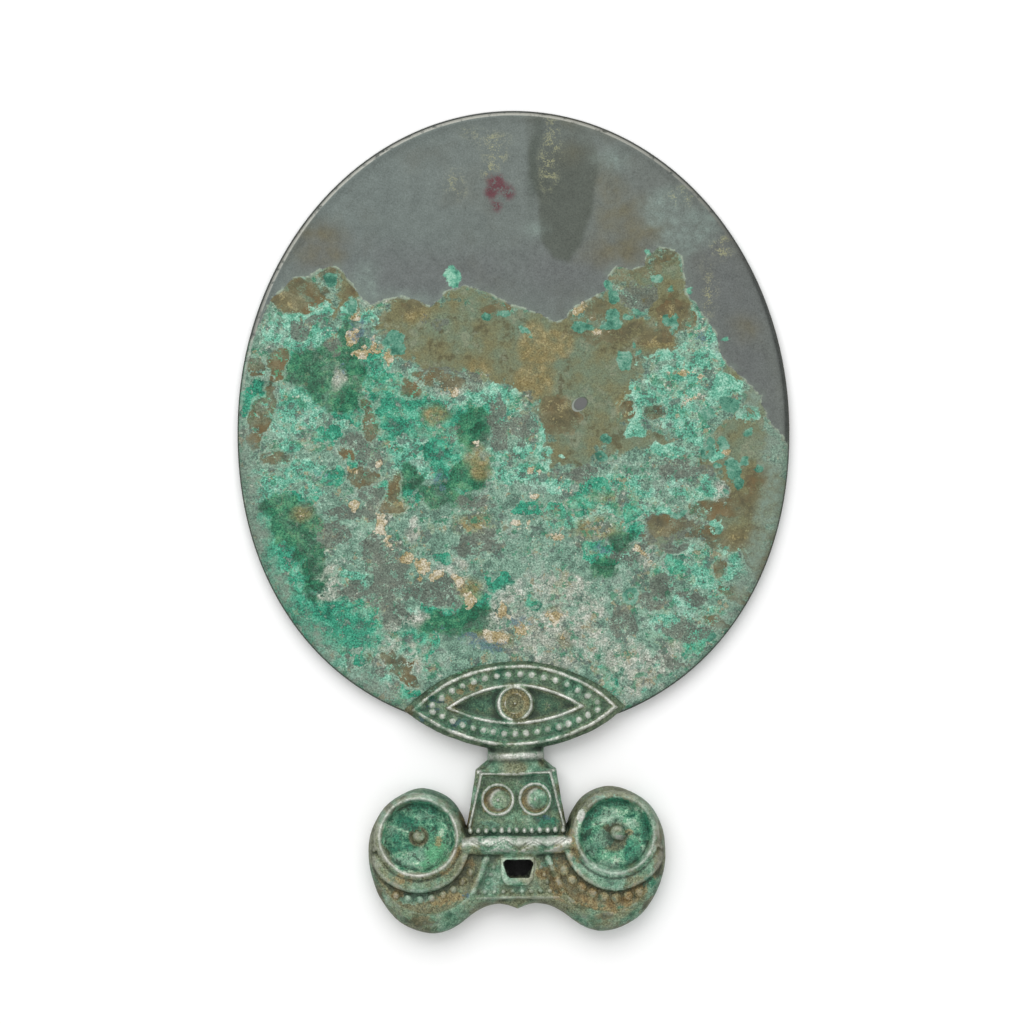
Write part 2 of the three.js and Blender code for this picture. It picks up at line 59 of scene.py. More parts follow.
# %% [markdown]
# ## How the mirror lies
#
# The two castings are easiest to describe flat, in millimetres: the disc about its own middle, and the
# handle about the middle of the eye that clasps the disc. The handle's lobes are deeper than the disc is
# thick, so the real mirror leans a little when it lies down, on its lobes and on the disc's far edge. The
# lean follows from those two places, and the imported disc's box gives the rest.

# %% The lean, and the way from flat drawings to the resting mirror
DISC = {
    "half_width": 75.0,
    "upper": 87.1,
    "lower": 81.7,
    "fullness": 2.15,
    "half_thick": 1.1,
    "lip": 0.12,
    "back_edge": 0.9,
}
HANDLE_AT = (0.41, -76.0)
HANDLE_LEAN = math.radians(0.85)
LOBE_REST = (-41.0, -5.85)

far_rest = DISC["upper"] * (1 - DISC["back_edge"] / DISC["half_width"])
tilt = math.atan2(-DISC["half_thick"] - LOBE_REST[1], far_rest - HANDLE_AT[1] - LOBE_REST[0])
disc_low, disc_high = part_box("mirror_disc")
lift = disc_low.z / MM + far_rest * math.sin(tilt) + DISC["half_thick"] * math.cos(tilt)
shift = disc_high.y / MM - DISC["upper"] * math.cos(tilt) + 0.35 * DISC["half_thick"] * math.sin(tilt)


def at_rest(x, y, z):
    """Where flat places in millimetres come to lie, in metres."""
    along = y * math.cos(tilt) + z * math.sin(tilt) + shift
    height = z * math.cos(tilt) - y * math.sin(tilt) + lift
    return np.stack([x, along, height], axis=-1) * MM


def disc_place(u, v):
    """A place on the handle's drawing, on the disc's drawing."""
    x = HANDLE_AT[0] + u * math.cos(HANDLE_LEAN) - v * math.sin(HANDLE_LEAN)
    return x, HANDLE_AT[1] + u * math.sin(HANDLE_LEAN) + v * math.cos(HANDLE_LEAN)


def handle_place(x, y):
    """A place on the disc's drawing, on the handle's drawing."""
    right, up = x - HANDLE_AT[0], y - HANDLE_AT[1]
    u = right * math.cos(HANDLE_LEAN) + up * math.sin(HANDLE_LEAN)
    return u, up * math.cos(HANDLE_LEAN) - right * math.sin(HANDLE_LEAN)


print(f"the mirror leans {math.degrees(tilt):.3f} degrees, and its middle is {lift:.3f} mm up")

# %% [markdown]
# ## Uneven by nature
#
# Corrosion is never even, so a source of smooth unevenness comes before any shape. Gradient noise is the
# usual one: every point of a grid has a slope in a fixed but arbitrary direction, and the slopes are
# blended between. Several sizes of it added together look like clouds. The grid's numbers come from whole-
# number arithmetic, so every run gives the same mirror.

# %% Noise and soft steps
def lattice(column, row, seed):
    mixed = (column * 374761393 + row * 668265263 + seed * 1442695041) & 0xFFFFFFFF
    mixed = ((mixed ^ (mixed >> 13)) * 1274126177) & 0xFFFFFFFF
    return ((mixed ^ (mixed >> 16)) & 0xFFFFFF) / 0xFFFFFF


def swell(x, y, seed):
    """Smooth noise between about -1 and 1, with one swell in each unit."""
    column, row = np.floor(x).astype(np.int64), np.floor(y).astype(np.int64)
    across, up = x - column, y - row
    share_across = across * across * (3 - 2 * across)
    share_up = up * up * (3 - 2 * up)
    total = 0
    for right in (0, 1):
        for above in (0, 1):
            turn = 2 * math.pi * lattice(column + right, row + above, seed)
            share = (share_across if right else 1 - share_across) * (share_up if above else 1 - share_up)
            total = total + share * (np.cos(turn) * (across - right) + np.sin(turn) * (up - above))
    return 1.5 * total


def clouds(x, y, size, seed, layers=4, rough=0.55):
    """Noise of several sizes, the largest given in millimetres. Smaller ones are weaker by `rough`."""
    total, weight = 0, 0
    for k in range(layers):
        scale = 2**k / size
        total = total + rough**k * swell(x * scale + 7.7 * k, y * scale - 3.1 * k, seed + k)
        weight += rough**k
    return total / weight * 1.6


def soft_step(low, high, value):
    share = np.clip((value - low) / (high - low), 0, 1)
    return share * share * (3 - 2 * share)


print("clouds reach from", *np.round(np.quantile(clouds(*np.mgrid[0:90, 0:90], 9.0, 1), [0.01, 0.99]), 2))

# %% [markdown]
# ## The disc's shape
#
# The disc is an ellipse on its far half, and slightly squarer where the handle holds it. Its surface needs
# small, even cells everywhere, because the crusts have ragged edges. A turned grid would crowd its cells in
# the middle, so a square grid is bent onto the oval instead, with the map that keeps areas nearly equal.
# Rings of faces then turn the edge over, and a grid with cells twice as large closes the back.

# %% The disc's outline, and a square grid bent onto it
def disc_reach(turn, grow=0.0):
    """How far the disc's edge is from its middle, in the direction of an angle."""
    far = np.sin(turn) >= 0
    power = np.where(far, 2.0, DISC["fullness"])
    height = np.where(far, DISC["upper"], DISC["lower"]) + grow
    across = np.abs(np.cos(turn)) / (DISC["half_width"] + grow)
    along = np.abs(np.sin(turn)) / height
    return (across**power + along**power) ** (-1 / power)


def disc_depth(x, y, grow=0.0):
    """About how far a place is inside the disc's edge, in millimetres."""
    return disc_reach(np.arctan2(y, x), grow) - np.hypot(x, y)


def bent_grid(cells):
    """A square grid's points, as shares of the way to the edge and angles. The last is the far corner."""
    side = np.linspace(-1, 1, cells + 1)
    b, a = np.meshgrid(side, side, indexing="ij")
    wide = np.abs(a) > np.abs(b)
    safe_a, safe_b = np.where(a == 0, 1, a), np.where(b == 0, 1, b)
    reach = np.where(wide, a, b)
    turn = np.where(wide, math.pi / 4 * b / safe_a, math.pi / 2 - math.pi / 4 * a / safe_b)
    share = np.abs(reach).ravel()
    return share, np.arctan2(reach * np.sin(turn), reach * np.cos(turn)).ravel()


def grid_faces(cells):
    corner = (np.arange(cells)[:, None] * (cells + 1) + np.arange(cells)).ravel()
    return np.stack([corner, corner + 1, corner + cells + 2, corner + cells + 1], axis=1)


def grid_border(cells):
    """The grid's border points in order, anticlockwise."""
    index = np.arange((cells + 1) ** 2).reshape(cells + 1, cells + 1)
    return np.concatenate([index[0, :-1], index[:-1, -1], index[-1, :0:-1], index[:0:-1, 0]])


FRONT_CELLS = 256
BACK_CELLS = FRONT_CELLS // 2
print("cells across the disc:", FRONT_CELLS, "or", round(2 * DISC["half_width"] / FRONT_CELLS, 2), "mm each")

# %% [markdown]
# ## Where each crust sits
#
# A buried bronze has layers. Brown and black oxides lie next to the metal, green copper carbonates grow
# over them, and pale chlorides and soil minerals sit on top. Each layer here is a list of patches on the
# disc's front: the middle of an ellipse and its two half-sizes in millimetres, and its turn in degrees if it
# is turned. The upper third of this disc stayed metal, and a line of points marks its border.

# %% Patches on the disc
METAL_BORDER = [
    (-71.3, 24.4), (-68.9, 29.0), (-67.1, 34.2), (-65.6, 35.6), (-60.0, 41.3), (-55.3, 41.7),
    (-53.0, 44.0), (-48.3, 44.5), (-46.2, 42.7), (-43.6, 39.4), (-41.7, 36.1), (-38.9, 34.2),
    (-35.2, 35.6), (-29.5, 36.1), (-26.7, 35.4), (-22.5, 33.8), (-19.7, 36.1), (-17.3, 38.5),
    (-13.1, 39.4), (-7.5, 37.5), (-3.8, 36.1), (-1.0, 34.2), (3.7, 32.8), (7.0, 32.1), (9.1, 30.2),
    (11.7, 29.5), (14.5, 30.5), (15.9, 33.3), (18.7, 34.7), (22.5, 36.6), (25.3, 38.4), (26.0, 42.7),
    (28.1, 44.5), (31.9, 43.6), (35.6, 45.0), (36.6, 47.8), (38.9, 49.7), (43.6, 49.2), (45.9, 46.4),
    (46.4, 42.2), (46.9, 37.5), (49.7, 34.7), (51.6, 30.9), (54.4, 27.2), (55.8, 22.5), (56.8, 19.5),
    (60.3, 15.8), (64.2, 12.4), (67.1, 9.5), (67.6, 6.6), (69.0, 3.2), (72.0, -0.2), (73.4, -2.7),
    (75.3, -5.0),
]
PATCHES = {
    "streak": [
        (6.1, 74.5, 1.4, 11.3, -3), (12.7, 85.4, 1.1, 0.8),
    ],
    "tint": [
        (26.7, 64.2, 3.3, 4.2, 20), (33.2, 54.4, 8.0, 4.2, -15), (28.5, 49.2, 8.0, 4.2),
        (15.9, 73.6, 4.2, 3.3), (-53.4, 52.9, 5.2, 2.8), (-55.3, 48.7, 5.2, 2.1, 8),
        (-50.6, 47.3, 2.8, 2.3), (23.8, 69.4, 2.3, 2.8), (62.8, 27.6, 2.8, 2.3),
        (16.9, 84.8, 7.0, 1.2, -12), (29.5, 60.0, 5.6, 2.8, 10),
    ],
    "violet": [
        (-28.6, 42.2, 19.7, 7.0, -5), (-9.8, 43.6, 9.4, 5.6), (12.1, 43.6, 15.5, 6.6),
        (59.0, 38.9, 7.5, 16.4, 25), (62.8, 17.8, 7.0, 14.1, 15), (-52.0, 48.3, 7.5, 5.6),
    ],
    "flecks": [
        (-11.3, 81.1, 1.9, 0.9), (-5.2, 75.9, 2.8, 2.3, -20), (-6.1, 79.2, 3.3, 1.4),
        (-6.6, 71.2, 1.4, 1.9), (10.5, 76.4, 1.6, 6.6, 5), (9.6, 70.3, 1.4, 3.8), (45.9, 63.7, 3.3, 2.8),
        (56.7, 49.7, 2.8, 2.8), (53.0, 37.0, 1.9, 5.6), (-15.9, 66.6, 1.9, 2.8), (9.8, 73.6, 1.6, 3.8),
        (10.3, 69.4, 1.4, 2.8),
    ],
    "red": [
        (-4.4, 67.7, 2.6, 2.3), (-5.8, 64.9, 2.1, 2.1), (-1.6, 65.1, 1.6, 2.1), (-5.1, 61.4, 1.6, 1.6),
        (-3.2, 66.5, 2.3, 1.9),
    ],
    "halo": [
        (-40.7, 39.4, 3.5, 5.2), (47.3, 53.9, 8.9, 6.1, 30), (41.2, 60.9, 6.6, 4.7, 20),
        (26.7, 73.6, 4.2, 2.3), (-26.2, 36.1, 9.4, 1.0, -5), (6.0, 54.8, 1.9, 1.4),
    ],
    "veil": [
        (71.0, -6.0, 4.2, 9.4, 3), (70.0, -20.0, 3.8, 9.4, -10), (66.0, -33.0, 3.3, 8.0, -24),
        (64.0, -40.0, 2.6, 6.0, -30), (58.0, -50.0, 1.4, 6.0, -42), (-72.0, -12.0, 2.4, 9.4),
        (-69.5, -27.0, 2.4, 8.0, 14), (-64.0, -41.0, 2.2, 8.0, 28), (-53.0, -56.5, 1.9, 8.4, 46),
        (-38.0, -69.0, 1.9, 8.4, 62), (66.0, 10.0, 3.3, 6.0, -40),
    ],
    "khaki": [
        (-11.8, 36.0, 8.5, 3.6, -8), (24.5, 33.5, 6.0, 5.0), (6.0, 31.0, 6.0, 3.0),
        (-14.5, 25.8, 18.8, 10.3), (-28.6, 29.5, 8.0, 6.6), (-57.6, 36.5, 8.9, 5.2, -25),
        (-45.0, 37.9, 3.3, 5.6), (7.4, 21.1, 12.2, 12.2), (20.1, 17.8, 14.1, 13.1),
        (33.2, 25.8, 11.7, 6.1, -10), (41.7, 36.5, 6.1, 10.8), (33.2, 41.7, 7.0, 3.3, -15),
        (16.8, 6.1, 12.2, 7.0), (18.2, 2.2, 13.1, 8.0), (15.9, -5.7, 8.4, 4.2), (32.3, -2.5, 8.9, 3.8),
        (61.4, -3.4, 7.5, 7.0), (66.0, -16.0, 8.9, 9.4), (61.4, -27.3, 8.9, 5.6, -20),
        (42.6, -26.4, 7.5, 4.2), (59.0, -7.1, 7.5, 5.6), (59.0, 15.4, 2.8, 7.5, -35),
        (65.1, 7.0, 3.8, 5.6), (-2.8, 17.8, 7.0, 4.2),
    ],
    "brown": [
        (-57.6, 39.4, 7.5, 2.3, -22), (-50.1, 42.9, 3.8, 1.8), (-60.9, 35.1, 6.1, 2.8, -20),
        (-43.1, 39.8, 1.4, 4.2, -35), (-27.2, 33.5, 5.2, 1.3, 15), (-3.7, 34.0, 5.2, 1.0, 8),
        (-19.2, 13.6, 8.4, 2.6, -12), (-28.1, 10.8, 2.8, 2.1, -20), (-64.7, 19.7, 2.8, 2.8),
        (-70.3, 17.3, 2.8, 2.8), (-66.1, 9.3, 1.4, 4.7, -10), (-68.4, 6.1, 2.8, 2.8),
        (-64.2, 15.4, 1.4, 2.6), (22.4, 33.3, 3.5, 3.5), (30.4, 42.6, 4.7, 2.0, -12),
        (37.4, 44.0, 3.8, 2.3, -30), (40.7, 48.3, 3.8, 2.1), (44.0, 31.4, 5.2, 4.2),
        (39.8, 26.7, 4.2, 2.8), (24.8, 25.8, 8.9, 2.1, -5), (34.2, 27.6, 5.6, 2.3),
        (-68.9, 3.2, 3.3, 3.3), (-70.3, -1.0, 1.9, 3.8), (-66.1, 6.5, 1.9, 2.8), (-64.7, -7.6, 3.3, 1.9),
        (-38.6, 1.3, 2.1, 3.8, 15), (-39.3, 6.5, 1.4, 2.8), (-45.4, -6.2, 1.9, 1.3, -30),
        (-41.0, -12.5, 4.2, 3.0), (-32.3, -16.0, 1.5, 3.8, -15), (-33.2, -20.7, 3.3, 2.3),
        (12.1, 3.6, 5.6, 5.2), (30.4, 5.5, 2.3, 2.3), (38.8, 4.6, 2.8, 2.3), (67.9, -15.1, 5.2, 7.0),
        (52.0, -21.7, 4.7, 2.3), (41.7, -25.4, 6.6, 2.8), (55.7, -29.2, 9.4, 2.8, -8),
        (65.1, -29.2, 5.6, 3.3, -20), (60.9, -20.7, 5.6, 3.8), (56.2, -37.6, 1.9, 2.3),
        (67.0, -36.7, 3.8, 5.6, 25), (61.4, -44.6, 4.7, 2.1, -30), (55.7, -51.7, 4.2, 1.3, -20),
        (-33.5, -61.2, 2.7, 1.9, 20), (-30.4, -64.3, 2.9, 2.7, 20), (-39.0, -62.2, 1.0, 1.2),
        (-26.9, -67.6, 2.3, 1.2, -25),
    ],
    "ochre": [
        (-8.4, 16.9, 3.5, 2.6), (6.5, 22.5, 5.2, 6.1), (6.0, 13.1, 5.2, 5.2), (11.7, 23.9, 3.8, 3.8),
        (39.3, 24.4, 4.2, 2.3), (29.5, 6.5, 2.3, 2.8), (-9.3, -7.1, 3.8, 3.3), (-8.9, -11.4, 2.8, 2.3),
        (-32.8, -20.7, 3.3, 2.1), (-21.5, 4.1, 3.8, 2.8), (-10.3, -25.4, 5.2, 3.3),
        (11.7, 5.5, 3.8, 2.8), (60.9, -28.7, 2.8, 1.9), (40.7, -26.4, 1.9, 1.4),
        (-61.4, 35.1, 5.2, 2.3, -20), (-25.7, 31.4, 2.8, 1.9), (26.7, 64.2, 2.8, 3.8, 20),
        (-57.6, -22.6, 2.8, 2.3), (22.4, -26.4, 5.6, 2.8), (25.7, -17.9, 3.8, 1.1),
        (-32.3, -16.0, 1.4, 3.3, -15), (42.6, 31.4, 3.3, 2.8), (11.2, -50.3, 2.3, 1.9),
        (14.5, -56.8, 2.3, 2.8), (-12.2, -42.8, 3.8, 2.8), (-5.1, -56.8, 5.6, 1.9, -10),
        (74.5, 2.9, 1.1, 4.4, 8),
    ],
    "bare": [
        (-35.6, -32.9, 5.6, 4.7, 30), (-32.8, -36.7, 4.2, 3.8), (-38.5, -17.0, 3.8, 3.3),
        (34.2, 36.5, 5.2, 3.5, -15), (-49.2, 22.0, 2.8, 2.1), (-20.6, 29.0, 2.8, 1.4, -20),
        (-15.9, 14.0, 9.4, 2.3, -10), (-58.1, 27.2, 2.3, 2.8, -30), (-54.3, 30.4, 1.9, 1.9),
        (-4.2, 3.6, 2.8, 5.2), (-3.7, -3.4, 2.3, 2.3), (-0.9, -7.1, 1.3, 1.3), (-16.6, -1.6, 1.6, 1.2),
        (-42.6, -2.9, 5.2, 2.3, 10), (-39.3, -8.1, 4.2, 4.2, -15), (-37.5, -31.5, 5.2, 3.3, 20),
        (-33.2, -43.2, 6.1, 5.2), (-31.8, -49.3, 4.2, 3.8), (-21.5, -43.7, 8.0, 4.2),
        (-48.7, -28.7, 5.2, 3.3), (-45.0, -22.6, 8.0, 1.9), (-8.9, -30.6, 8.0, 2.8, 10),
        (-10.7, -19.3, 4.2, 1.9), (-43.1, -43.2, 5.2, 2.3, 25), (2.8, 0.4, 3.3, 3.8),
        (1.8, -4.1, 1.0, 1.2), (18.2, -11.8, 5.6, 2.1), (46.4, -10.9, 7.5, 2.6), (37.0, -28.7, 2.8, 2.8),
        (29.5, -34.8, 3.8, 2.8), (40.7, -24.5, 5.6, 2.3), (48.2, -45.1, 4.2, 2.3),
        (37.9, -45.6, 4.2, 2.8), (44.0, -32.0, 3.3, 2.3), (47.3, -26.8, 6.6, 2.8),
        (40.3, -41.4, 3.3, 2.8), (29.5, -52.1, 4.2, 3.8), (47.3, -54.0, 7.5, 2.8),
        (-36.3, -65.9, 1.9, 1.5, 20), (-32.5, -68.7, 1.9, 1.0, -20), (-43.7, -63.4, 1.0, 1.9, 10),
        (37.5, -63.2, 1.9, 1.0), (43.6, -63.4, 2.7, 1.2, -20),
    ],
    "emerald": [
        (-62.0, -36.0, 5.0, 9.0, 18), (-56.0, -47.0, 6.0, 8.0, 35), (-46.5, -54.0, 8.0, 5.5, -20),
        (-61.8, 18.7, 2.8, 2.3), (-69.3, 11.7, 2.8, 3.3), (-40.3, 18.3, 4.2, 2.8, 20),
        (-33.2, 9.3, 5.6, 6.1), (-36.5, 14.0, 3.8, 2.8), (-44.0, 5.1, 4.2, 2.8), (-71.7, 7.0, 1.9, 3.3),
        (-32.8, 3.2, 5.2, 5.6), (-25.3, 5.0, 7.5, 3.8), (-14.5, 2.2, 8.0, 4.2), (-17.3, -5.7, 7.5, 5.2),
        (-13.6, -11.4, 7.0, 5.2), (-26.2, 2.2, 5.2, 3.8), (-28.1, -17.9, 2.8, 2.8),
        (-43.1, -7.6, 2.8, 2.3), (-50.6, -1.5, 3.3, 2.3), (-19.2, -3.4, 2.8, 4.2),
        (-35.1, -16.5, 1.8, 2.3), (-43.1, 6.5, 2.8, 3.8), (-63.7, -32.9, 4.2, 5.2, 15),
        (-59.5, -39.0, 5.2, 6.1, 20), (-57.2, -47.0, 4.7, 5.6, 20), (-52.5, -52.6, 5.2, 5.2, 30),
        (-45.0, -48.9, 7.0, 3.8), (-44.0, -55.4, 7.0, 4.2), (-35.6, -55.9, 6.1, 3.8),
        (-28.6, -54.0, 2.8, 2.8), (-24.3, -56.4, 3.3, 5.2), (-40.7, -61.5, 1.9, 1.9),
        (-59.0, -19.8, 4.2, 2.8), (-67.0, -24.5, 2.3, 3.3), (-48.2, -13.2, 2.3, 2.3),
        (-8.4, -45.6, 5.2, 2.8, -30), (-16.8, -50.3, 6.6, 2.8), (-2.8, -42.3, 3.3, 2.8),
        (-6.1, -42.3, 1.9, 2.8), (-19.7, -35.3, 2.3, 1.9), (21.5, -16.0, 5.2, 2.8),
        (19.2, -19.8, 3.3, 2.8), (32.3, -22.1, 2.3, 2.3), (33.2, -27.3, 1.9, 2.8),
        (22.9, -32.5, 3.8, 2.8), (25.3, -36.2, 2.8, 2.3), (44.0, -35.7, 2.3, 1.9),
        (3.2, -46.5, 2.8, 2.3), (4.6, -47.9, 2.1, 1.6), (11.7, -21.7, 2.1, 1.4), (2.8, -21.7, 2.8, 1.9),
        (49.6, -55.9, 1.9, 1.4), (46.8, -59.2, 2.3, 1.6), (27.1, -64.3, 2.3, 1.9),
        (26.9, -66.4, 1.2, 2.7), (48.8, -58.9, 1.9, 1.2), (45.4, -59.1, 1.2, 0.8),
        (46.7, -60.9, 1.2, 0.8), (53.3, -55.9, 1.2, 1.2), (27.5, -70.5, 1.9, 1.2),
        (-41.0, -62.0, 1.2, 1.5), (-27.3, -58.4, 1.9, 2.5), (-34.2, -58.0, 2.7, 1.2),
        (-27.3, -70.9, 2.3, 1.2, -20),
    ],
    "deep": [
        (-55.7, 17.3, 8.9, 4.2), (-47.8, 17.3, 6.1, 5.6), (-46.8, 9.3, 5.6, 4.2),
        (-56.7, 18.7, 4.2, 2.3), (-50.6, 11.7, 5.2, 4.2), (-10.7, 0.8, 5.2, 3.8),
        (-12.6, -12.3, 5.2, 3.8), (-19.2, -17.9, 4.7, 2.3), (-59.0, -26.4, 6.6, 5.2),
        (-62.8, -20.7, 4.2, 2.3), (-55.7, -32.0, 3.3, 4.2), (-17.3, -52.1, 7.5, 2.8),
        (-9.8, -50.3, 5.6, 4.2), (-54.3, -38.5, 2.3, 5.6, 20), (39.8, -42.3, 1.9, 1.9),
        (24.3, -37.1, 2.8, 2.3), (28.5, -30.1, 2.8, 2.3), (-46.8, 24.4, 0.9, 4.2, -18),
        (-44.0, 20.1, 1.4, 3.8, -30), (-28.1, -12.8, 2.8, 2.8), (27.1, -64.7, 1.2, 1.2),
    ],
    "mint": [
        (-52.9, 32.8, 2.8, 2.8), (-59.0, 29.5, 6.6, 2.3, 10), (-59.0, 24.8, 8.0, 4.2),
        (-64.7, 28.1, 4.2, 3.3), (-51.1, 26.7, 5.2, 2.8), (-45.0, 32.8, 2.8, 2.8, 20),
        (-40.3, 30.4, 2.8, 1.9), (-37.5, 19.2, 5.6, 2.8, 20), (-27.2, 15.0, 2.3, 1.6),
        (-13.6, 8.4, 8.0, 3.8), (-3.7, 7.5, 5.6, 5.2), (-57.6, 6.5, 8.4, 5.2), (-39.3, 12.6, 1.9, 2.3),
        (-68.4, 15.9, 1.4, 1.9), (49.2, 29.5, 2.8, 4.7, 15), (51.0, 17.8, 7.0, 4.7, 20),
        (56.7, 10.8, 5.2, 5.2), (45.4, 13.1, 8.4, 4.2), (42.6, 7.0, 14.1, 5.2),
        (41.2, 20.6, 5.2, 2.1, 10), (33.2, 12.2, 1.9, 1.9), (64.2, 4.7, 2.3, 2.3),
        (53.4, 25.3, 2.8, 2.8), (-59.5, 2.2, 6.6, 6.1), (-60.9, -3.9, 4.2, 2.8),
        (-52.0, 3.6, 5.2, 2.3, -30), (-47.8, 0.8, 2.3, 2.8), (-64.7, -15.1, 3.8, 4.2, -40),
        (-54.3, -10.4, 4.2, 2.3, -20), (-59.5, -11.8, 4.7, 2.8, -30), (-68.4, -16.0, 2.8, 5.6),
        (-56.7, -17.0, 5.6, 2.8), (-28.6, -3.9, 6.6, 5.2, 30), (-25.3, -10.4, 5.2, 3.8),
        (-30.0, -9.0, 5.2, 2.8), (-5.1, 6.9, 6.1, 2.3), (-5.1, -8.5, 4.2, 3.8), (-2.8, -12.3, 4.2, 2.8),
        (-20.1, 6.9, 7.0, 2.8), (-52.5, -41.4, 2.3, 3.8), (-47.8, -43.2, 3.8, 2.8),
        (-43.1, -39.5, 4.7, 2.3), (-30.9, -56.4, 1.9, 2.8), (-28.1, -61.1, 3.3, 2.3),
        (-26.2, -50.3, 3.8, 1.9), (-37.0, -59.6, 2.8, 1.9), (-68.4, -27.3, 1.9, 5.2),
        (-65.6, -38.5, 2.8, 6.6, 12), (-62.3, -45.6, 2.8, 2.8), (-50.6, -59.6, 3.3, 2.8, 30),
        (-61.8, -43.7, 2.3, 1.0), (-30.9, -52.1, 3.3, 1.4), (5.6, -1.0, 2.8, 5.2), (3.2, -6.7, 5.2, 2.8),
        (8.4, -7.1, 3.3, 2.3), (5.1, -11.4, 6.1, 2.8), (9.8, -14.2, 4.7, 2.8),
        (28.5, -14.2, 8.9, 2.8, 8), (33.2, -17.9, 5.2, 2.8), (26.7, -20.7, 8.4, 2.3),
        (35.1, -21.7, 2.8, 2.8), (44.9, -15.1, 3.3, 2.1), (51.0, -13.7, 3.3, 2.3),
        (51.0, -17.9, 4.2, 2.8), (49.6, -20.7, 2.3, 1.4), (40.3, -22.6, 2.8, 2.3), (45.4, 4.6, 5.2, 6.1),
        (48.7, -0.1, 4.2, 5.2), (41.7, -5.7, 5.6, 2.3), (35.1, 4.6, 2.8, 2.3), (33.2, -0.1, 3.8, 1.9),
        (55.3, -6.2, 2.8, 1.9), (53.4, 4.1, 1.9, 1.9), (52.0, -34.8, 6.1, 3.3), (60.4, -37.1, 3.8, 4.2),
        (52.0, -39.0, 7.0, 3.3), (41.2, -39.5, 4.2, 2.8), (45.9, -47.0, 2.8, 1.9),
        (53.4, -49.3, 6.1, 2.3, -20), (42.6, -51.7, 5.2, 2.3), (50.1, -54.0, 4.2, 1.9),
        (36.5, -38.5, 3.3, 1.9), (26.7, -33.9, 2.8, 2.8), (15.9, -23.5, 7.0, 3.3),
        (29.5, -25.9, 3.8, 1.9), (54.8, -26.4, 2.3, 1.9), (55.7, -43.7, 2.8, 1.9),
        (44.9, -56.8, 7.5, 1.9), (-50.8, -60.3, 2.5, 1.2, 30), (-46.9, -62.6, 1.9, 1.9, 30),
        (-35.2, -65.1, 2.9, 1.9, 25), (-37.3, -61.2, 2.3, 1.9), (-35.4, -67.6, 2.7, 1.7),
        (-43.1, -65.9, 1.9, 1.0), (-39.4, -67.2, 1.2, 1.2), (-31.0, -72.6, 2.9, 1.9, 20),
        (-30.4, -57.4, 1.5, 1.9), (-31.0, -60.1, 2.3, 1.0, 25), (-26.9, -63.7, 1.2, 1.9),
        (35.4, -65.9, 1.7, 1.7), (39.0, -65.3, 1.0, 1.0), (35.4, -70.9, 1.2, 1.0),
        (42.9, -61.6, 1.2, 0.5), (51.3, -57.8, 1.2, 0.6, -20),
    ],
    "sand": [
        (-43.1, -19.8, 2.3, 1.6), (-36.1, -25.0, 2.1, 2.8), (-32.5, -28.7, 1.9, 2.8),
        (-29.0, -34.8, 2.3, 2.8, -30), (-25.3, -37.1, 2.3, 2.8), (-26.2, -40.4, 2.6, 1.4),
        (-21.5, -40.0, 2.8, 1.4), (-43.1, -10.9, 2.8, 1.2), (-15.4, -40.9, 2.3, 1.9),
        (-10.7, -2.9, 1.9, 0.9), (-36.5, -9.5, 0.9, 0.9), (-56.7, -23.1, 1.4, 1.0),
        (-11.7, -46.1, 2.3, 1.6), (-2.3, -49.3, 2.3, 2.3), (-4.2, -55.9, 4.2, 1.9, -10),
        (-44.0, 24.8, 2.1, 3.8, -20), (-38.4, 22.5, 3.3, 1.9), (-42.2, 21.1, 2.8, 1.4),
        (-43.1, 30.9, 2.3, 1.2), (-17.3, 11.2, 3.3, 1.2, -10), (-34.2, 20.1, 1.9, 2.3),
        (48.7, 22.2, 1.0, 0.8), (47.3, 15.4, 3.8, 1.2), (48.7, 8.9, 1.4, 0.6, 20),
        (18.2, 32.8, 2.8, 2.3), (22.4, 27.6, 3.3, 1.2), (8.4, 30.9, 1.6, 1.6, 40),
        (53.4, -17.7, 1.4, 1.0, 40), (13.1, -28.2, 2.8, 1.2, 25), (3.9, -24.5, 2.3, 1.4),
        (26.7, -18.4, 3.3, 0.8), (36.0, -33.4, 1.0, 2.8, 40), (22.9, -37.6, 0.9, 1.1),
        (6.0, -10.4, 1.9, 0.9), (13.1, -13.7, 1.1, 2.8, 15), (6.0, -18.4, 1.4, 0.7),
        (1.3, -24.5, 1.4, 1.4), (11.2, -50.3, 2.8, 1.9), (14.5, -56.4, 1.9, 2.8), (1.3, -54.5, 2.3, 1.9),
        (58.1, -5.3, 1.9, 1.4), (51.5, 39.4, 1.4, 1.1, 20), (52.4, 36.5, 1.4, 0.9),
        (49.2, 44.0, 1.1, 0.9),
    ],
    "chalk": [
        (-2.8, -50.7, 4.2, 2.8, 30), (-0.9, -45.6, 3.8, 2.8), (-15.0, -35.7, 1.4, 1.6),
        (-26.9, -27.3, 1.1, 2.3), (-36.5, -22.6, 1.4, 1.9), (-17.8, -39.0, 2.8, 1.2),
        (-30.9, -53.1, 2.8, 1.4), (-27.2, -50.3, 2.8, 1.4), (-50.6, -38.5, 2.3, 2.8),
        (-49.7, -44.6, 2.8, 2.3), (-46.8, -43.7, 2.8, 1.4), (16.3, -54.0, 5.2, 4.2),
        (9.8, -52.1, 9.4, 3.3), (6.5, -58.2, 6.1, 2.8), (20.1, -55.0, 3.8, 2.8), (20.6, -49.3, 2.8, 1.9),
        (15.9, -45.6, 7.5, 2.3), (29.5, -61.1, 5.6, 2.3), (36.0, -33.9, 1.9, 2.3),
        (2.3, -50.3, 4.2, 2.8), (12.1, -41.4, 7.5, 2.8), (33.2, -30.6, 1.4, 1.4),
        (55.7, -17.0, 1.4, 2.3), (-23.4, 36.5, 2.1, 0.9, 20), (-47.6, 14.6, 1.5, 1.5),
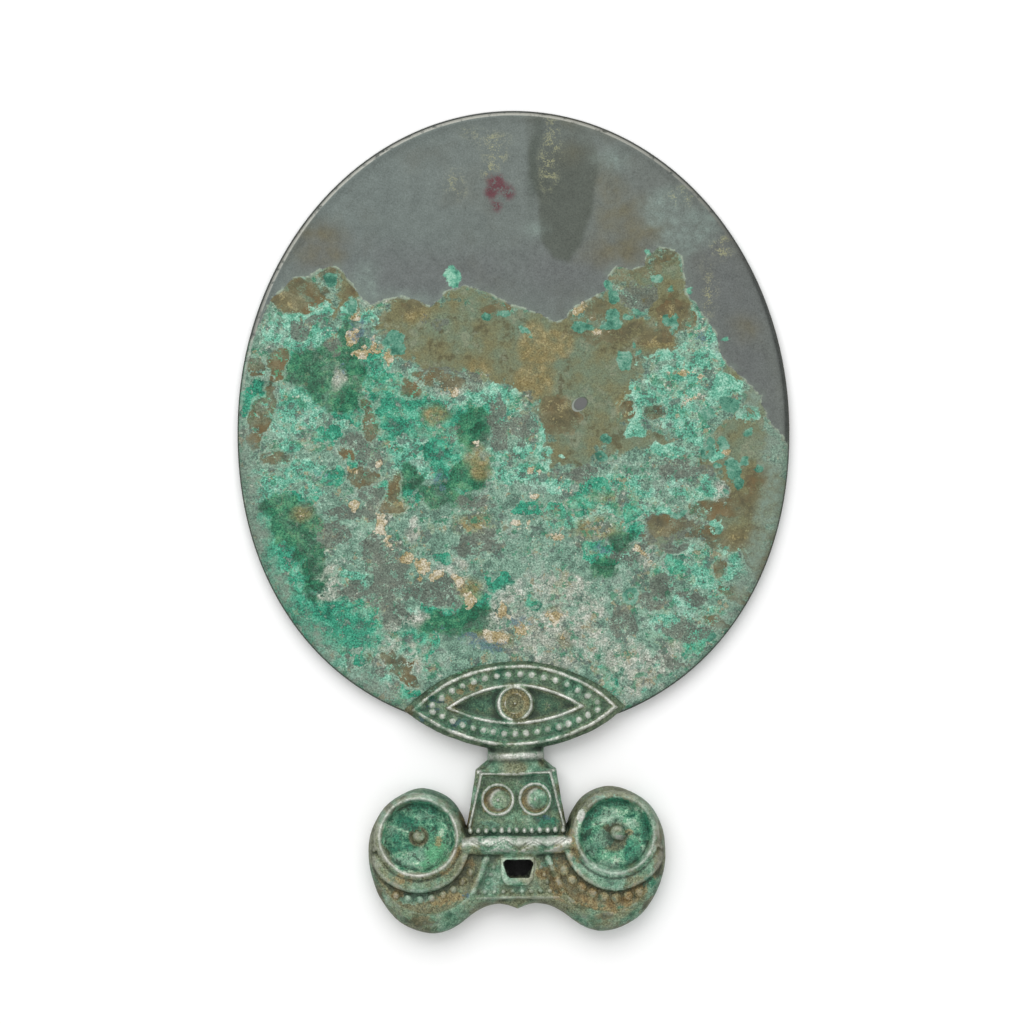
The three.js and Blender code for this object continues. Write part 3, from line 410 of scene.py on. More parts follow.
        (-18.7, 11.2, 2.8, 1.0), (-37.0, 36.1, 2.3, 1.4), (26.7, -58.2, 4.2, 2.3),
        (29.8, -66.6, 1.7, 1.5), (31.7, -62.2, 3.3, 1.9), (30.4, -64.3, 2.3, 1.5),
        (37.7, -68.9, 3.1, 1.2, -15), (32.9, -70.1, 2.3, 1.2), (35.2, -61.2, 2.1, 1.2),
        (-30.6, -57.0, 1.2, 1.2), (-31.3, -59.1, 1.9, 0.8, 20), (-37.3, -59.5, 1.7, 0.5),
        (-36.3, -63.2, 1.2, 1.2), (-27.9, -60.7, 1.7, 0.6, 25), (-26.5, -64.3, 1.0, 1.9),
        (34.5, -66.5, 6.0, 3.4, 40), (41.0, -62.5, 4.5, 2.4, 40), (10.5, -62.0, 5.5, 2.6),
    ],
    "spots": [
        (-49.7, 41.2, 2.1, 2.0, 20), (-16.6, 41.3, 2.0, 3.3, 25), (-7.9, 30.9, 1.1, 1.0),
        (-3.5, 31.9, 2.1, 0.8, 8), (-44.0, 34.2, 0.9, 2.1), (-31.6, 22.5, 1.7, 1.4),
        (-32.8, 24.8, 3.3, 2.1, 25), (27.4, 36.1, 1.5, 2.3), (26.7, 31.4, 2.1, 2.3),
        (18.2, 28.1, 3.3, 1.5), (26.7, 28.6, 2.8, 1.0), (42.8, 38.6, 0.8, 1.0), (47.5, 38.0, 0.8, 0.6),
        (44.0, 29.5, 1.4, 2.3, -10), (41.2, 30.0, 1.0, 1.4), (37.2, 48.3, 1.5, 1.3),
        (38.8, 41.2, 1.7, 1.0), (30.4, 18.3, 1.8, 2.6), (34.2, 21.5, 0.8, 1.1), (32.8, 23.2, 0.7, 0.7),
        (56.9, 24.4, 1.0, 0.4), (30.9, 31.1, 1.1, 0.6), (34.2, 32.1, 2.3, 0.5, -20),
        (26.0, 39.6, 0.9, 0.9), (7.4, 7.7, 1.1, 1.1), (3.2, 27.2, 2.3, 0.8, -40), (53.1, 4.3, 1.5, 1.6),
        (57.1, -3.2, 1.9, 1.8), (63.7, -0.8, 1.2, 1.0), (59.7, -10.0, 2.1, 3.8, 8),
        (60.9, -14.6, 0.9, 1.7), (55.7, -9.5, 1.3, 0.9), (62.8, -8.1, 1.4, 1.3), (66.5, -10.4, 1.0, 0.8),
        (45.4, -23.0, 1.8, 1.1), (53.4, -3.4, 1.0, 1.2), (55.7, -27.3, 1.2, 1.2),
        (57.4, -16.5, 0.5, 0.6), (53.9, -55.9, 1.4, 1.0), (45.9, -22.4, 1.4, 0.9),
        (57.4, -31.5, 1.2, 0.8), (58.1, 7.0, 2.6, 2.3), (24.6, -2.2, 1.6, 1.4),
    ],
    "azurite": [
        (-5.6, -58.5, 4.2, 1.9), (-20.1, -54.0, 2.3, 1.4), (-13.6, -56.4, 2.3, 1.4),
        (-20.1, -14.6, 1.9, 2.8), (-40.7, 25.8, 3.8, 1.4, -10), (-42.2, 30.0, 1.9, 0.9),
        (-46.8, 16.4, 1.9, 1.9), (51.0, 25.3, 1.4, 2.3), (62.8, 19.0, 0.6, 0.5), (55.7, 22.0, 0.5, 0.9),
        (22.9, -32.0, 1.9, 0.9), (2.3, -52.6, 2.3, 1.4), (-52.5, -12.3, 1.9, 1.4),
    ],
}
SPOT_RINGS = [(23.7, -7.0, 1.1, 0.6), (31.6, -45.0, 1.6, 0.6), (52.4, -6.0, 1.3, 0.6)]
SILVER_MARK, MARK_CORE = (17.9, 7.1, 2.3, 1.75, 40), (18.3, 7.35, 1.85, 1.4, 40)
TONGUE = [
    (2.5, 87), (3.9, 81), (5, 69), (7.2, 62.8), (7, 52), (10.5, 47), (14.6, 46), (18.9, 51), (21.4, 60),
    (23, 71.8), (21.5, 80), (17, 87),
]
print({name: len(rows) for name, rows in PATCHES.items()})

# %% [markdown]
# A patch is measured as depth: how far inside its edge a place is, in millimetres, with places outside
# below zero. Depths combine easily, the deepest patch wins, and noise added to a depth makes the edge
# ragged. The border line is measured in the same way. Places are first pushed about by slow noise, so that
# no ellipse is left looking like one.

# %% Depths inside patches and lines
def patch_depth(x, y, rows):
    deepest = np.full(x.shape, -9.0)
    for middle_x, middle_y, half_x, half_y, *turn in rows:
        angle = math.radians(turn[0] if turn else 0)
        right, up = x - middle_x, y - middle_y
        across = (right * math.cos(angle) + up * math.sin(angle)) / half_x
        along = (up * math.cos(angle) - right * math.sin(angle)) / half_y
        deepest = np.maximum(deepest, (1 - np.hypot(across, along)) * min(half_x, half_y))
    return deepest


def outline_depth(x, y, corners):
    """Signed distance to a closed outline, more than zero inside."""
    nearest, inside = np.full(x.shape, 1e9), np.zeros(x.shape, bool)
    for (x0, y0), (x1, y1) in zip(corners, corners[1:] + corners[:1]):
        along_x, along_y = x1 - x0, y1 - y0
        share = np.clip(((x - x0) * along_x + (y - y0) * along_y) / (along_x**2 + along_y**2 + 1e-12), 0, 1)
        nearest = np.minimum(nearest, (x - x0 - share * along_x) ** 2 + (y - y0 - share * along_y) ** 2)
        if y0 != y1:
            inside ^= ((y0 > y) != (y1 > y)) & (x < x0 + (y - y0) * along_x / along_y)
    return np.where(inside, 1, -1) * np.sqrt(nearest)


def line_distance(x, y, points):
    """Distance to the nearest of the straight runs between points."""
    nearest = np.full(x.shape, 1e9)
    for (x0, y0), (x1, y1) in zip(points, points[1:]):
        along_x, along_y = x1 - x0, y1 - y0
        share = np.clip(((x - x0) * along_x + (y - y0) * along_y) / (along_x**2 + along_y**2), 0, 1)
        nearest = np.minimum(nearest, np.hypot(x - x0 - share * along_x, y - y0 - share * along_y))
    return nearest


# The border line is closed far outside the disc. Each crust has the height of its ragged noise and the
# strength of the slow push on it, and each stain has the softness of its edge.
CORRODED = METAL_BORDER + [(90, -5), (90, -99), (-90, -99), (-90, 24)]
CRUSTS = {
    "brown": (1.5, 0.8),
    "bare": (2.0, 1.1),
    "emerald": (1.8, 1.0),
    "deep": (2.2, 1.0),
    "mint": (2.2, 1.0),
    "sand": (1.8, 0.7),
    "chalk": (2.2, 0.8),
    "spots": (0.9, 0.5),
    "azurite": (2.0, 0.6),
}
STAINS = {
    "streak": 1.2,
    "tint": 4.0,
    "violet": 6.0,
    "flecks": 2.0,
    "red": 1.0,
    "halo": 2.6,
    "veil": 2.0,
    "khaki": 4.0,
    "ochre": 1.3,
}


def disc_layers(x, y):
    """Every layer's depth, or its strength from 0 to 1, at places on the disc's front."""
    push_x = 1.3 * clouds(x, y, 11.0, 11, 5)
    push_y = 1.3 * clouds(x, y, 11.0, 29, 5)
    near_x = x + 0.5 * clouds(x, y, 3.5, 91, 4)
    near_y = y + 0.5 * clouds(x, y, 3.5, 97, 4)
    layers = {"corroded": outline_depth(near_x, near_y, CORRODED)}
    for k, (name, (ragged, pull)) in enumerate(CRUSTS.items()):
        depth = patch_depth(near_x + pull * push_x, near_y + pull * push_y, PATCHES[name])
        layers[name] = np.clip(depth, -4, 2.6) + ragged * clouds(x, y, 4.5, 131 + 17 * k, 5, 0.65)
    for ring_x, ring_y, radius, half in SPOT_RINGS:
        ring = half - np.abs(np.hypot(near_x - ring_x, near_y - ring_y) - radius)
        layers["spots"] = np.maximum(layers["spots"], ring)
    for k, (name, soft) in enumerate(STAINS.items()):
        depth = patch_depth(x + push_x, y + push_y, PATCHES[name])
        layers[name] = soft_step(-soft, soft, depth + 0.35 * soft * clouds(x, y, 7.0, 211 + 13 * k, 4))
    tongue = outline_depth(x + 0.6 * push_x, y + 0.6 * push_y, TONGUE)
    layers["shade"] = soft_step(-0.8, 0.8, tongue) * soft_step(92, 66, y)
    layers["mark"], layers["mark_core"] = patch_depth(x, y, [SILVER_MARK]), patch_depth(x, y, [MARK_CORE])
    layers["cool"] = soft_step(-60, 55, -x + 18 * clouds(x, y, 40.0, 5, 4))
    layers["drift"] = 0.5 + 0.5 * clouds(x, y, 22.0, 303, 5, 0.6)
    # The disc's upper side, toward the light, where the rim's lip gets a painted highlight.
    layers["crown"] = soft_step(10, 80, y - 0.35 * x)
    layers["inside"] = disc_depth(x, y)
    return layers


def back_layers(x, y):
    """The same layers on the back, which lay on damp soil: corroded all over, in plain, broad patches."""
    broad = {"mint": (30.0, -0.7), "emerald": (22.0, -1.5), "brown": (26.0, -1.3), "bare": (34.0, -0.9)}
    broad.update({"deep": (24.0, -2.2), "chalk": (28.0, -2.4), "sand": (9.0, -3.4)})
    layers = {name: np.full(x.shape, -3.0) for name in CRUSTS}
    layers.update({name: np.zeros(x.shape) for name in STAINS})
    for k, (name, (size, level)) in enumerate(broad.items()):
        layers[name] = level + 3.4 * clouds(x, y, size, 871 + 13 * k, 6, 0.68)
    layers["khaki"] = soft_step(0.1, 0.7, clouds(x, y, 40.0, 977, 5))
    layers["corroded"] = np.full(x.shape, 4.0)
    layers["mark"], layers["mark_core"] = np.full(x.shape, -3.0), np.full(x.shape, -3.0)
    layers["shade"], layers["crown"] = np.zeros(x.shape), np.zeros(x.shape)
    return layers


def crust_relief(x, y, layers):
    """How proud the crusts stand of the metal, in millimetres."""
    rough = clouds(x, y, 2.4, 401, 3)
    grown = 0.10 * soft_step(-0.3, 0.5, layers["mint"]) + 0.12 * soft_step(-0.3, 0.7, layers["emerald"])
    grown = grown + 0.16 * soft_step(0.2, 0.9, layers["sand"]) + 0.06 * soft_step(0, 1.5, layers["deep"])
    for name in ("brown", "bare"):
        grown = grown * (1 - 0.8 * soft_step(-0.2, 0.4, layers[name]))
    grown = grown + 0.12 * soft_step(-0.2, 0.3, layers["spots"])
    eaten = soft_step(-0.2, 0.6, layers["corroded"])
    return eaten * (0.02 + grown + 0.05 * rough)


# %% [markdown]
# The disc's edge is cast round, with a low lip just inside it on the front. Each ring of the edge is a
# distance in from the rim and a height. Under the handle's eye the disc stays flat, so that it still fits
# its slot.

# %% Build the disc
EDGE_RINGS = [
    (3.2, 1.1), (2.5, 1.14), (2.0, 1.2), (1.6, 1.235), (1.2, 1.2), (0.85, 1.06), (0.5, 0.8),
    (0.22, 0.45), (0.05, 0.05), (0.0, -0.35), (0.12, -0.72), (0.42, -0.98), (0.9, -1.1),
]
EYE_PLATE = (30.1, 0.6, 13.4, -10.5)


def eye_depth(u, v, eye):
    """Depth inside an eye shape: half its width, the height of its corners, its top and its bottom."""
    half, corner, top, bottom = eye
    over, under = top - corner, corner - bottom
    upper = (half**2 + over**2) / (2 * over)
    lower = (half**2 + under**2) / (2 * under)
    return np.minimum(upper - np.hypot(u, v - top + upper), lower - np.hypot(u, v - bottom - lower))


share, turn = bent_grid(FRONT_CELLS)
inner = 1 - EDGE_RINGS[0][0] / DISC["half_width"]
front_reach = share * inner * disc_reach(turn)
front_x, front_y = front_reach * np.cos(turn), front_reach * np.sin(turn)
border = grid_border(FRONT_CELLS)
border_turn = turn[border]
rim_share = np.array([1 - inset / DISC["half_width"] for inset, _ in EDGE_RINGS[1:]])
rim_reach = rim_share[:, None] * disc_reach(border_turn)
rim_x, rim_y = (rim_reach * np.cos(border_turn)).ravel(), (rim_reach * np.sin(border_turn)).ravel()
rim_z = np.repeat([height for _, height in EDGE_RINGS[1:]], len(border))

back_share, back_turn = bent_grid(BACK_CELLS)
back_reach = back_share * inner * disc_reach(back_turn)
back_x, back_y = back_reach * np.cos(back_turn), back_reach * np.sin(back_turn)

disc_x = np.concatenate([front_x, rim_x, back_x])
disc_y = np.concatenate([front_y, rim_y, back_y])
faces_z = np.full(front_x.shape, DISC["half_thick"]), np.full(back_x.shape, -DISC["half_thick"])
disc_z = np.concatenate([faces_z[0], rim_z, faces_z[1]])
layers = disc_layers(disc_x, disc_y)
front_share = soft_step(-0.7, 0.2, disc_z)
for name, values in back_layers(disc_x, disc_y).items():
    layers[name] = layers[name] * front_share + values * (1 - front_share)
open_face = soft_step(0.0, -1.2, eye_depth(*handle_place(disc_x, disc_y), EYE_PLATE))
fading = soft_step(0.3, 2.2, disc_depth(disc_x, disc_y))
on_front = soft_step(0.2, 1.0, disc_z)
relief = crust_relief(disc_x, disc_y, layers) * open_face * (0.25 + 0.75 * fading) * on_front
low_swell = 0.05 * clouds(disc_x, disc_y, 45.0, 77, 3)
pitting = 0.05 * (1 + clouds(disc_x, disc_y, 9.0, 501, 4)) * soft_step(-1.0, -1.1, disc_z) * fading
disc_z = disc_z + relief + low_swell * on_front * fading + pitting


def ring_faces(outer, following):
    step = np.roll(np.arange(len(outer)), -1)
    return np.stack([outer, following, following[step], outer[step]], axis=1)


rings = [border]
for k in range(len(EDGE_RINGS) - 1):
    rings.append(len(front_x) + k * len(border) + np.arange(len(border)))
faces = [grid_faces(FRONT_CELLS)] + [ring_faces(a, b) for a, b in zip(rings, rings[1:])]
back_start = len(front_x) + len(rim_x)
faces.append(back_start + grid_faces(BACK_CELLS)[:, ::-1])
last, back_border = rings[-1], back_start + grid_border(BACK_CELLS)
even, odd, following = last[0::2], last[1::2], np.roll(last[0::2], -1)
back_next = np.roll(back_border, -1)
triangles = [
    np.stack([even, back_border, odd], axis=1),
    np.stack([odd, back_border, back_next], axis=1),
    np.stack([odd, back_next, following], axis=1),
]


def piece_from(name, places, face_groups):
    """A mesh object from places in metres and groups of faces, smooth shaded."""
    mesh = bpy.data.meshes.new(name)
    mesh.vertices.add(len(places))
    mesh.vertices.foreach_set("co", places.astype(np.float32).ravel())
    corners = np.concatenate([group.ravel() for group in face_groups])
    sizes = np.concatenate([np.full(len(group), group.shape[1]) for group in face_groups])
    starts = np.concatenate([[0], np.cumsum(sizes)[:-1]])
    mesh.loops.add(len(corners))
    mesh.loops.foreach_set("vertex_index", corners.astype(np.int32))
    mesh.polygons.add(len(sizes))
    mesh.polygons.foreach_set("loop_start", starts.astype(np.int32))
    mesh.polygons.foreach_set("use_smooth", np.ones(len(sizes), bool))
    mesh.update(calc_edges=True)
    mesh.validate()
    made = bpy.data.objects.new(name, mesh)
    bpy.context.scene.collection.objects.link(made)
    return made


def note_on(mesh, name, values):
    """Keeps one number for each point of a mesh, for its finish to read."""
    note = mesh.attributes.new(name, "FLOAT", "POINT")
    note.data.foreach_set("value", np.asarray(values, np.float32))


def triangle_count(mesh):
    return sum(len(face.vertices) - 2 for face in mesh.polygons)


disc = piece_from("disc", at_rest(disc_x, disc_y, disc_z), faces + triangles)
for name, values in layers.items():
    note_on(disc.data, name, values)
print("disc:", len(disc.data.vertices), "points,", triangle_count(disc.data), "triangles")

# %% [markdown]
# ## The handle as depths and heights
#
# The handle was modelled in wax and cast, so its forms run softly into each other. Instead of joining many
# small meshes, each form is written as a signed distance in space, less than zero inside the bronze. The
# smaller of two distances joins their forms, and a soft smaller adds the fillet that wax has. Cutting is
# the larger of a distance and the cutter's negative. Most of the relief only needs a height for each place
# on the drawing.
#
# First comes a block of points in space around the handle. The drawing is shaken by a sixth of a
# millimetre, because no line or bead on the handle is quite true.

# %% A block of points, and tools for forms
CELL = 0.27
u_line = np.arange(-42.5, 43.0, CELL, dtype=np.float32)
v_line = np.arange(-61.5, 15.0, CELL, dtype=np.float32)
z_line = np.arange(-6.9, 8.2, CELL, dtype=np.float32)
true_u, true_v = np.meshgrid(u_line, v_line, indexing="ij")
U = true_u + 0.16 * clouds(true_u, true_v, 11.0, 503, 2)
V = true_v + 0.16 * clouds(true_u, true_v, 11.0, 509, 2)
Z = z_line[None, None, :]


def half_round(distance, half_width, height):
    return height * np.sqrt(np.clip(1 - (distance / half_width) ** 2, 0, 1))


def edge_drop(depth, reach, drop):
    """How much a rounded edge has dropped at a depth inside the outline: a quarter of an ellipse."""
    share = np.clip(1 - depth / reach, 0, 1)
    return drop * (1 - np.sqrt(1 - share**2))


def softened(height, spread):
    """A height map blurred by `spread` millimetres."""
    reach = int(math.ceil(3 * spread / CELL))
    weights = np.exp(-0.5 * (np.arange(-reach, reach + 1) * CELL / spread) ** 2)
    weights /= weights.sum()
    for axis in (0, 1):
        padding = [(reach, reach) if k == axis else (0, 0) for k in (0, 1)]
        padded = np.pad(height, padding, mode="edge")
        size = height.shape[axis]
        height = sum(w * np.take(padded, range(k, k + size), axis=axis) for k, w in enumerate(weights))
    return height.astype(np.float32)


def between(top, bottom, depth):
    """The form under one height map, over another, and inside an outline."""
    slope_top = np.sqrt(1 + sum(g**2 for g in np.gradient(top, CELL)))[..., None]
    slope_bottom = np.sqrt(1 + sum(g**2 for g in np.gradient(bottom, CELL)))[..., None]
    over, under = (Z - top[..., None]) / slope_top, (bottom[..., None] - Z) / slope_bottom
    return np.maximum(np.maximum(over, under), -depth[..., None]).astype(np.float32)


def melted(first, second, fillet):
    """Two forms joined, with a fillet between them."""
    share = np.clip(fillet - np.abs(first - second), 0, None) / fillet
    return np.minimum(first, second) - share**2 * fillet / 4


def ridge(height, away, half_width, rise, ground):
    """A round-topped ridge added to a height map, along a line that is `away` from each place."""
    return np.maximum(height, np.where(away < half_width, ground + half_round(away, half_width, rise), -99))


def beads(height, places, radius, rise, ground, long=1.0):
    """Round-topped beads added to a height map. `long` stretches them along v."""
    for u, v in places:
        away = np.hypot(U - u, (V - v) / long)
        height = np.maximum(height, np.where(away < radius, ground + half_round(away, radius, rise), -99))
    return height


print("block of", U.shape[0], "x", U.shape[1], "x", len(z_line), "points")

# %% [markdown]
# ### The eye
#
# The eye's outlines are pairs of arcs, so their depth is exact: the nearer of two circles. Ridges follow
# the outline at a fixed depth, with a row of beads between the outer and the inner ridge. The disc slides
# in behind the upper half, between a tall front cheek and a lower, plain back one.

# %% The eye's plate and relief
OUTER_RIDGE, INNER_RIDGE = (27.9, 0.6, 12.5, -9.5), (18.9, 0.9, 7.3, -3.8)
BEAD_LINE = (23.6, 0.75, 9.9, -6.2)
IRIS_V = 1.9
EYE_FIELD, EYE_RIDGE = 2.9, 3.8


def arc_places(half, corner, crest, count):
    """Places spread evenly along the arc over a chord."""
    rise = crest - corner
    radius = (half**2 + rise**2) / (2 * rise)
    sweep = math.asin(half / radius)
    turns = [sweep * (1 - 2 * (k + 0.5) / count) for k in range(count)]
    return [(radius * math.sin(t), crest - radius * (1 - math.cos(t))) for t in turns]


plate_depth = eye_depth(U, V, EYE_PLATE)
eye_top = EYE_FIELD - edge_drop(plate_depth, 0.9, 0.9)
rise = EYE_RIDGE - EYE_FIELD
for outline, half_width in ((OUTER_RIDGE, 0.75), (INNER_RIDGE, 0.65)):
    away = np.abs(eye_depth(U, V, outline) - 0.5)
    eye_top = ridge(eye_top, away, half_width, rise, EYE_FIELD)
lens = soft_step(0.8, 2.4, eye_depth(U, V, INNER_RIDGE))
iris_away = np.hypot(U, V - IRIS_V)
lens = lens * soft_step(4.9, 5.6, iris_away)
eye_top = eye_top - 0.35 * lens
half, corner, top, bottom = BEAD_LINE
eye_places = arc_places(half, corner, top, 16) + arc_places(-half, corner, bottom, 17)
eye_top = beads(eye_top, eye_places, 1.2, rise, EYE_FIELD)
# Painted highlight: a bright spot on top of each eye bead, shifted a little toward the light.
bead_shine = np.zeros(U.shape, np.float32)
for u, v in eye_places:
    bead_shine = np.maximum(bead_shine, soft_step(0.85, 0.35, np.hypot(U - u, V - v - 0.15)))
for radius, half_width, height in ((4.4, 0.65, rise + 0.05), (2.7, 0.35, rise - 0.35)):
    eye_top = ridge(eye_top, np.abs(iris_away - radius), half_width, height, EYE_FIELD)
turns = [k * math.pi / 11 for k in range(22)]
dots = [(3.5 * math.cos(t), IRIS_V + 3.5 * math.sin(t)) for t in turns]
eye_top = beads(eye_top, dots, 0.42, 0.3, EYE_FIELD + 0.1)
eye_top = beads(eye_top, [(0, IRIS_V)], 0.55, rise - 0.4, EYE_FIELD)
iris_fill = soft_step(4.0, 3.7, iris_away) * (0.3 + 0.5 * soft_step(2.2, 2.8, iris_away))
cheek_depth = eye_depth(U, V, (30.1, 0.6, 6.5, -10.5))
eye_form = between(softened(eye_top, 0.13), np.zeros_like(U), plate_depth)
back_cheek = between(np.full_like(U, 0.6), -2.7 + edge_drop(cheek_depth, 0.7, 0.7), cheek_depth)
form = melted(eye_form, back_cheek, 0.3)
print("eye:", len(eye_places), "beads")

# %% [markdown]
# ### Neck, block and bar
#
# The neck is a flattened round, so it is measured as if its height were stretched back to a circle. Its
# waist has one soft roll. The block below carries two rings with a dot in each, inside a frame on three
# sides, and a row of beads. A rolled bar closes it, with a zigzag cut along its crest.

# %% The neck, the block and the bar
NECK = [(-17.5, 10.8), (-15.8, 10.8), (-14.9, 9.7), (-13.1, 7.55), (-9.6, 7.55)]
NECK_ROLL_V = -12.25
BLOCK_FIELD, BLOCK_BACK = 4.0, -3.9
RING_V, RING_U, RING_RADIUS = -23.95, 5.1, 4.15
BUTTON_RADIUS, BUTTON_SHIFT = 2.75, 0.75
BAR_V, BAR_CENTRE = -36.25, 3.2

neck_half = np.interp(v_line, *zip(*NECK)).astype(np.float32)[None, :, None]
neck = (np.sqrt(U[..., None] ** 2 + (Z / 0.46) ** 2) - neck_half) * 0.6
neck = np.maximum(neck, np.abs(V + 13.55)[..., None] - 3.95)
round_neck = np.sqrt(U[..., None] ** 2 + (Z / 0.57) ** 2) - 6.5
neck_roll = (np.hypot(round_neck, (V - NECK_ROLL_V)[..., None]) - 1.05) * 0.7
form = melted(form, melted(neck, neck_roll, 0.35), 0.5)

block_half = np.interp(V, [-37.0, -15.8], [14.4, 10.8])
side_lean = math.cos(math.atan2(14.4 - 10.8, 37.0 - 15.8))
block_depth = np.minimum((block_half - np.abs(U)) * side_lean, np.minimum(V + 37.0, -15.8 - V))
block_top = BLOCK_FIELD - edge_drop(block_depth, 0.9, 0.9)
moons, moon_edges = iris_fill, np.zeros(U.shape, np.float32)
frame_line = [(-12.7, -31.0), (-9.3, -16.9), (9.3, -16.9), (12.7, -31.0)]
block_top = ridge(block_top, line_distance(U, V, frame_line), 0.5, 1.2, BLOCK_FIELD)
for side in (-1, 1):
    away = np.hypot(U - side * RING_U, V - RING_V)
    from_button = np.hypot(U - side * RING_U - BUTTON_SHIFT, V - RING_V)
    button = BLOCK_FIELD + 0.5 - 0.25 * soft_step(0.6, 2.0, from_button)
    button = button - edge_drop(BUTTON_RADIUS - from_button, 0.35, 0.35)
    block_top = np.maximum(block_top, np.where(from_button < BUTTON_RADIUS, button, -99))
    moon = soft_step(3.8, 3.4, away) * soft_step(BUTTON_RADIUS - 0.2, BUTTON_RADIUS + 0.2, from_button)
    moons = np.maximum(moons, moon)
    moon_edge = soft_step(0.45, 0.15, np.abs(from_button - BUTTON_RADIUS + 0.1)) * (U < side * RING_U + 0.6)
    moon_edges = np.maximum(moon_edges, moon_edge)
    block_top = ridge(block_top, np.abs(away - RING_RADIUS), 0.62, 1.0, BLOCK_FIELD)
    block_top = beads(block_top, [(side * RING_U, RING_V)], 0.6, 0.75, BLOCK_FIELD + 0.2)
block_top = beads(block_top, [((k - 6) * 2.09, -32.4) for k in range(13)], 0.8, 1.1, BLOCK_FIELD, 1.3)
block_top = block_top - 0.3 * soft_step(0.6, 0.1, np.abs(V + 33.7)) * (np.abs(U) < 13.3)
block_form = between(softened(block_top, 0.13), BLOCK_BACK + edge_drop(block_depth, 1.2, 1.2), block_depth)
form = melted(form, block_form, 0.4)

bar_half = 2.85 - 0.5 * soft_step(12.5, 15.3, np.abs(U))
bar = (np.hypot(((V - BAR_V) / bar_half)[..., None], (Z - BAR_CENTRE) / 3.4) - 1) * 2.85
bar = np.maximum(bar, np.abs(U)[..., None] - 15.3)
zigzag = [(0.3 + k * 4.075, BAR_V + (1.2 if k % 2 else -1.2)) for k in range(-3, 4)]
groove = 0.4 * soft_step(0.6, 0.1, line_distance(U, V, zigzag))
bar = bar + groove[..., None] * (Z > 4.6)
form = melted(form, bar, 0.3)
print("block, bar and neck joined; the form's lowest value is", round(float(form.min()), 2))

# %% [markdown]
# ### The two lobes and what lies on them
#
# The lower body is one swelling form. Its outline is a smooth curve through given points, one half
# mirrored to give the other, and its front and back fall away to that outline like a cushion. On each lobe
# sit a sunk field of beads, a collar like a crescent, and a dished cup with a boss. A framed panel with a
# mouth joins them.

# %% The lobes' outline and rounded body
BODY_HALF = [
    (0, -52.3), (4.8, -52.3), (8.5, -52.9), (12, -54.7), (15.3, -57.2), (19, -59.2), (23.5, -60),
    (29, -58.5), (34.5, -54.5), (38.4, -48), (40.2, -40), (39.3, -32), (35, -25), (26.5, -20.7),
    (18.8, -22.9), (14.7, -27.8), (12.8, -32.4), (8, -35), (0, -35),
]


def between_points(a, b, c, d, t):
    """Where a Catmull-Rom curve is on its way from b to c, with a before them and d after."""
    return 0.5 * ((2 * b) + (c - a) * t + (2 * a - 5 * b + 4 * c - d) * t**2 + (3 * b - a - 3 * c + d) * t**3)


def smooth_line(points, steps=6):
    """A smooth curve through the points."""
    ends = [points[0]] + points + [points[-1]]
    curve = []
    for four in zip(ends, ends[1:], ends[2:], ends[3:]):
        for k in range(steps):
            curve.append(tuple(between_points(*values, k / steps) for values in zip(*four)))
    return curve + [points[-1]]


right_side = smooth_line(BODY_HALF)
body_outline = right_side + [(-u, v) for u, v in reversed(right_side[1:-1])]
body_depth = outline_depth(U, V, body_outline)
CUP_U, CUP_V = 26.6, -33.7
LOBE = (25.2, -41.0)
body_top = 4.8 - edge_drop(body_depth, 4.8, 4.5)
body_bottom = -5.2 + edge_drop(body_depth, 4.8, 4.5)
for side in (-1, 1):
    away = np.hypot(U - side * LOBE[0], V - LOBE[1])
    swelling = -6.0 + 1.4 * soft_step(4.0, 13.2, away)
    body_bottom = np.where(away < 13.2, np.minimum(body_bottom, swelling), body_bottom)
print("body outline:", len(body_outline), "points")

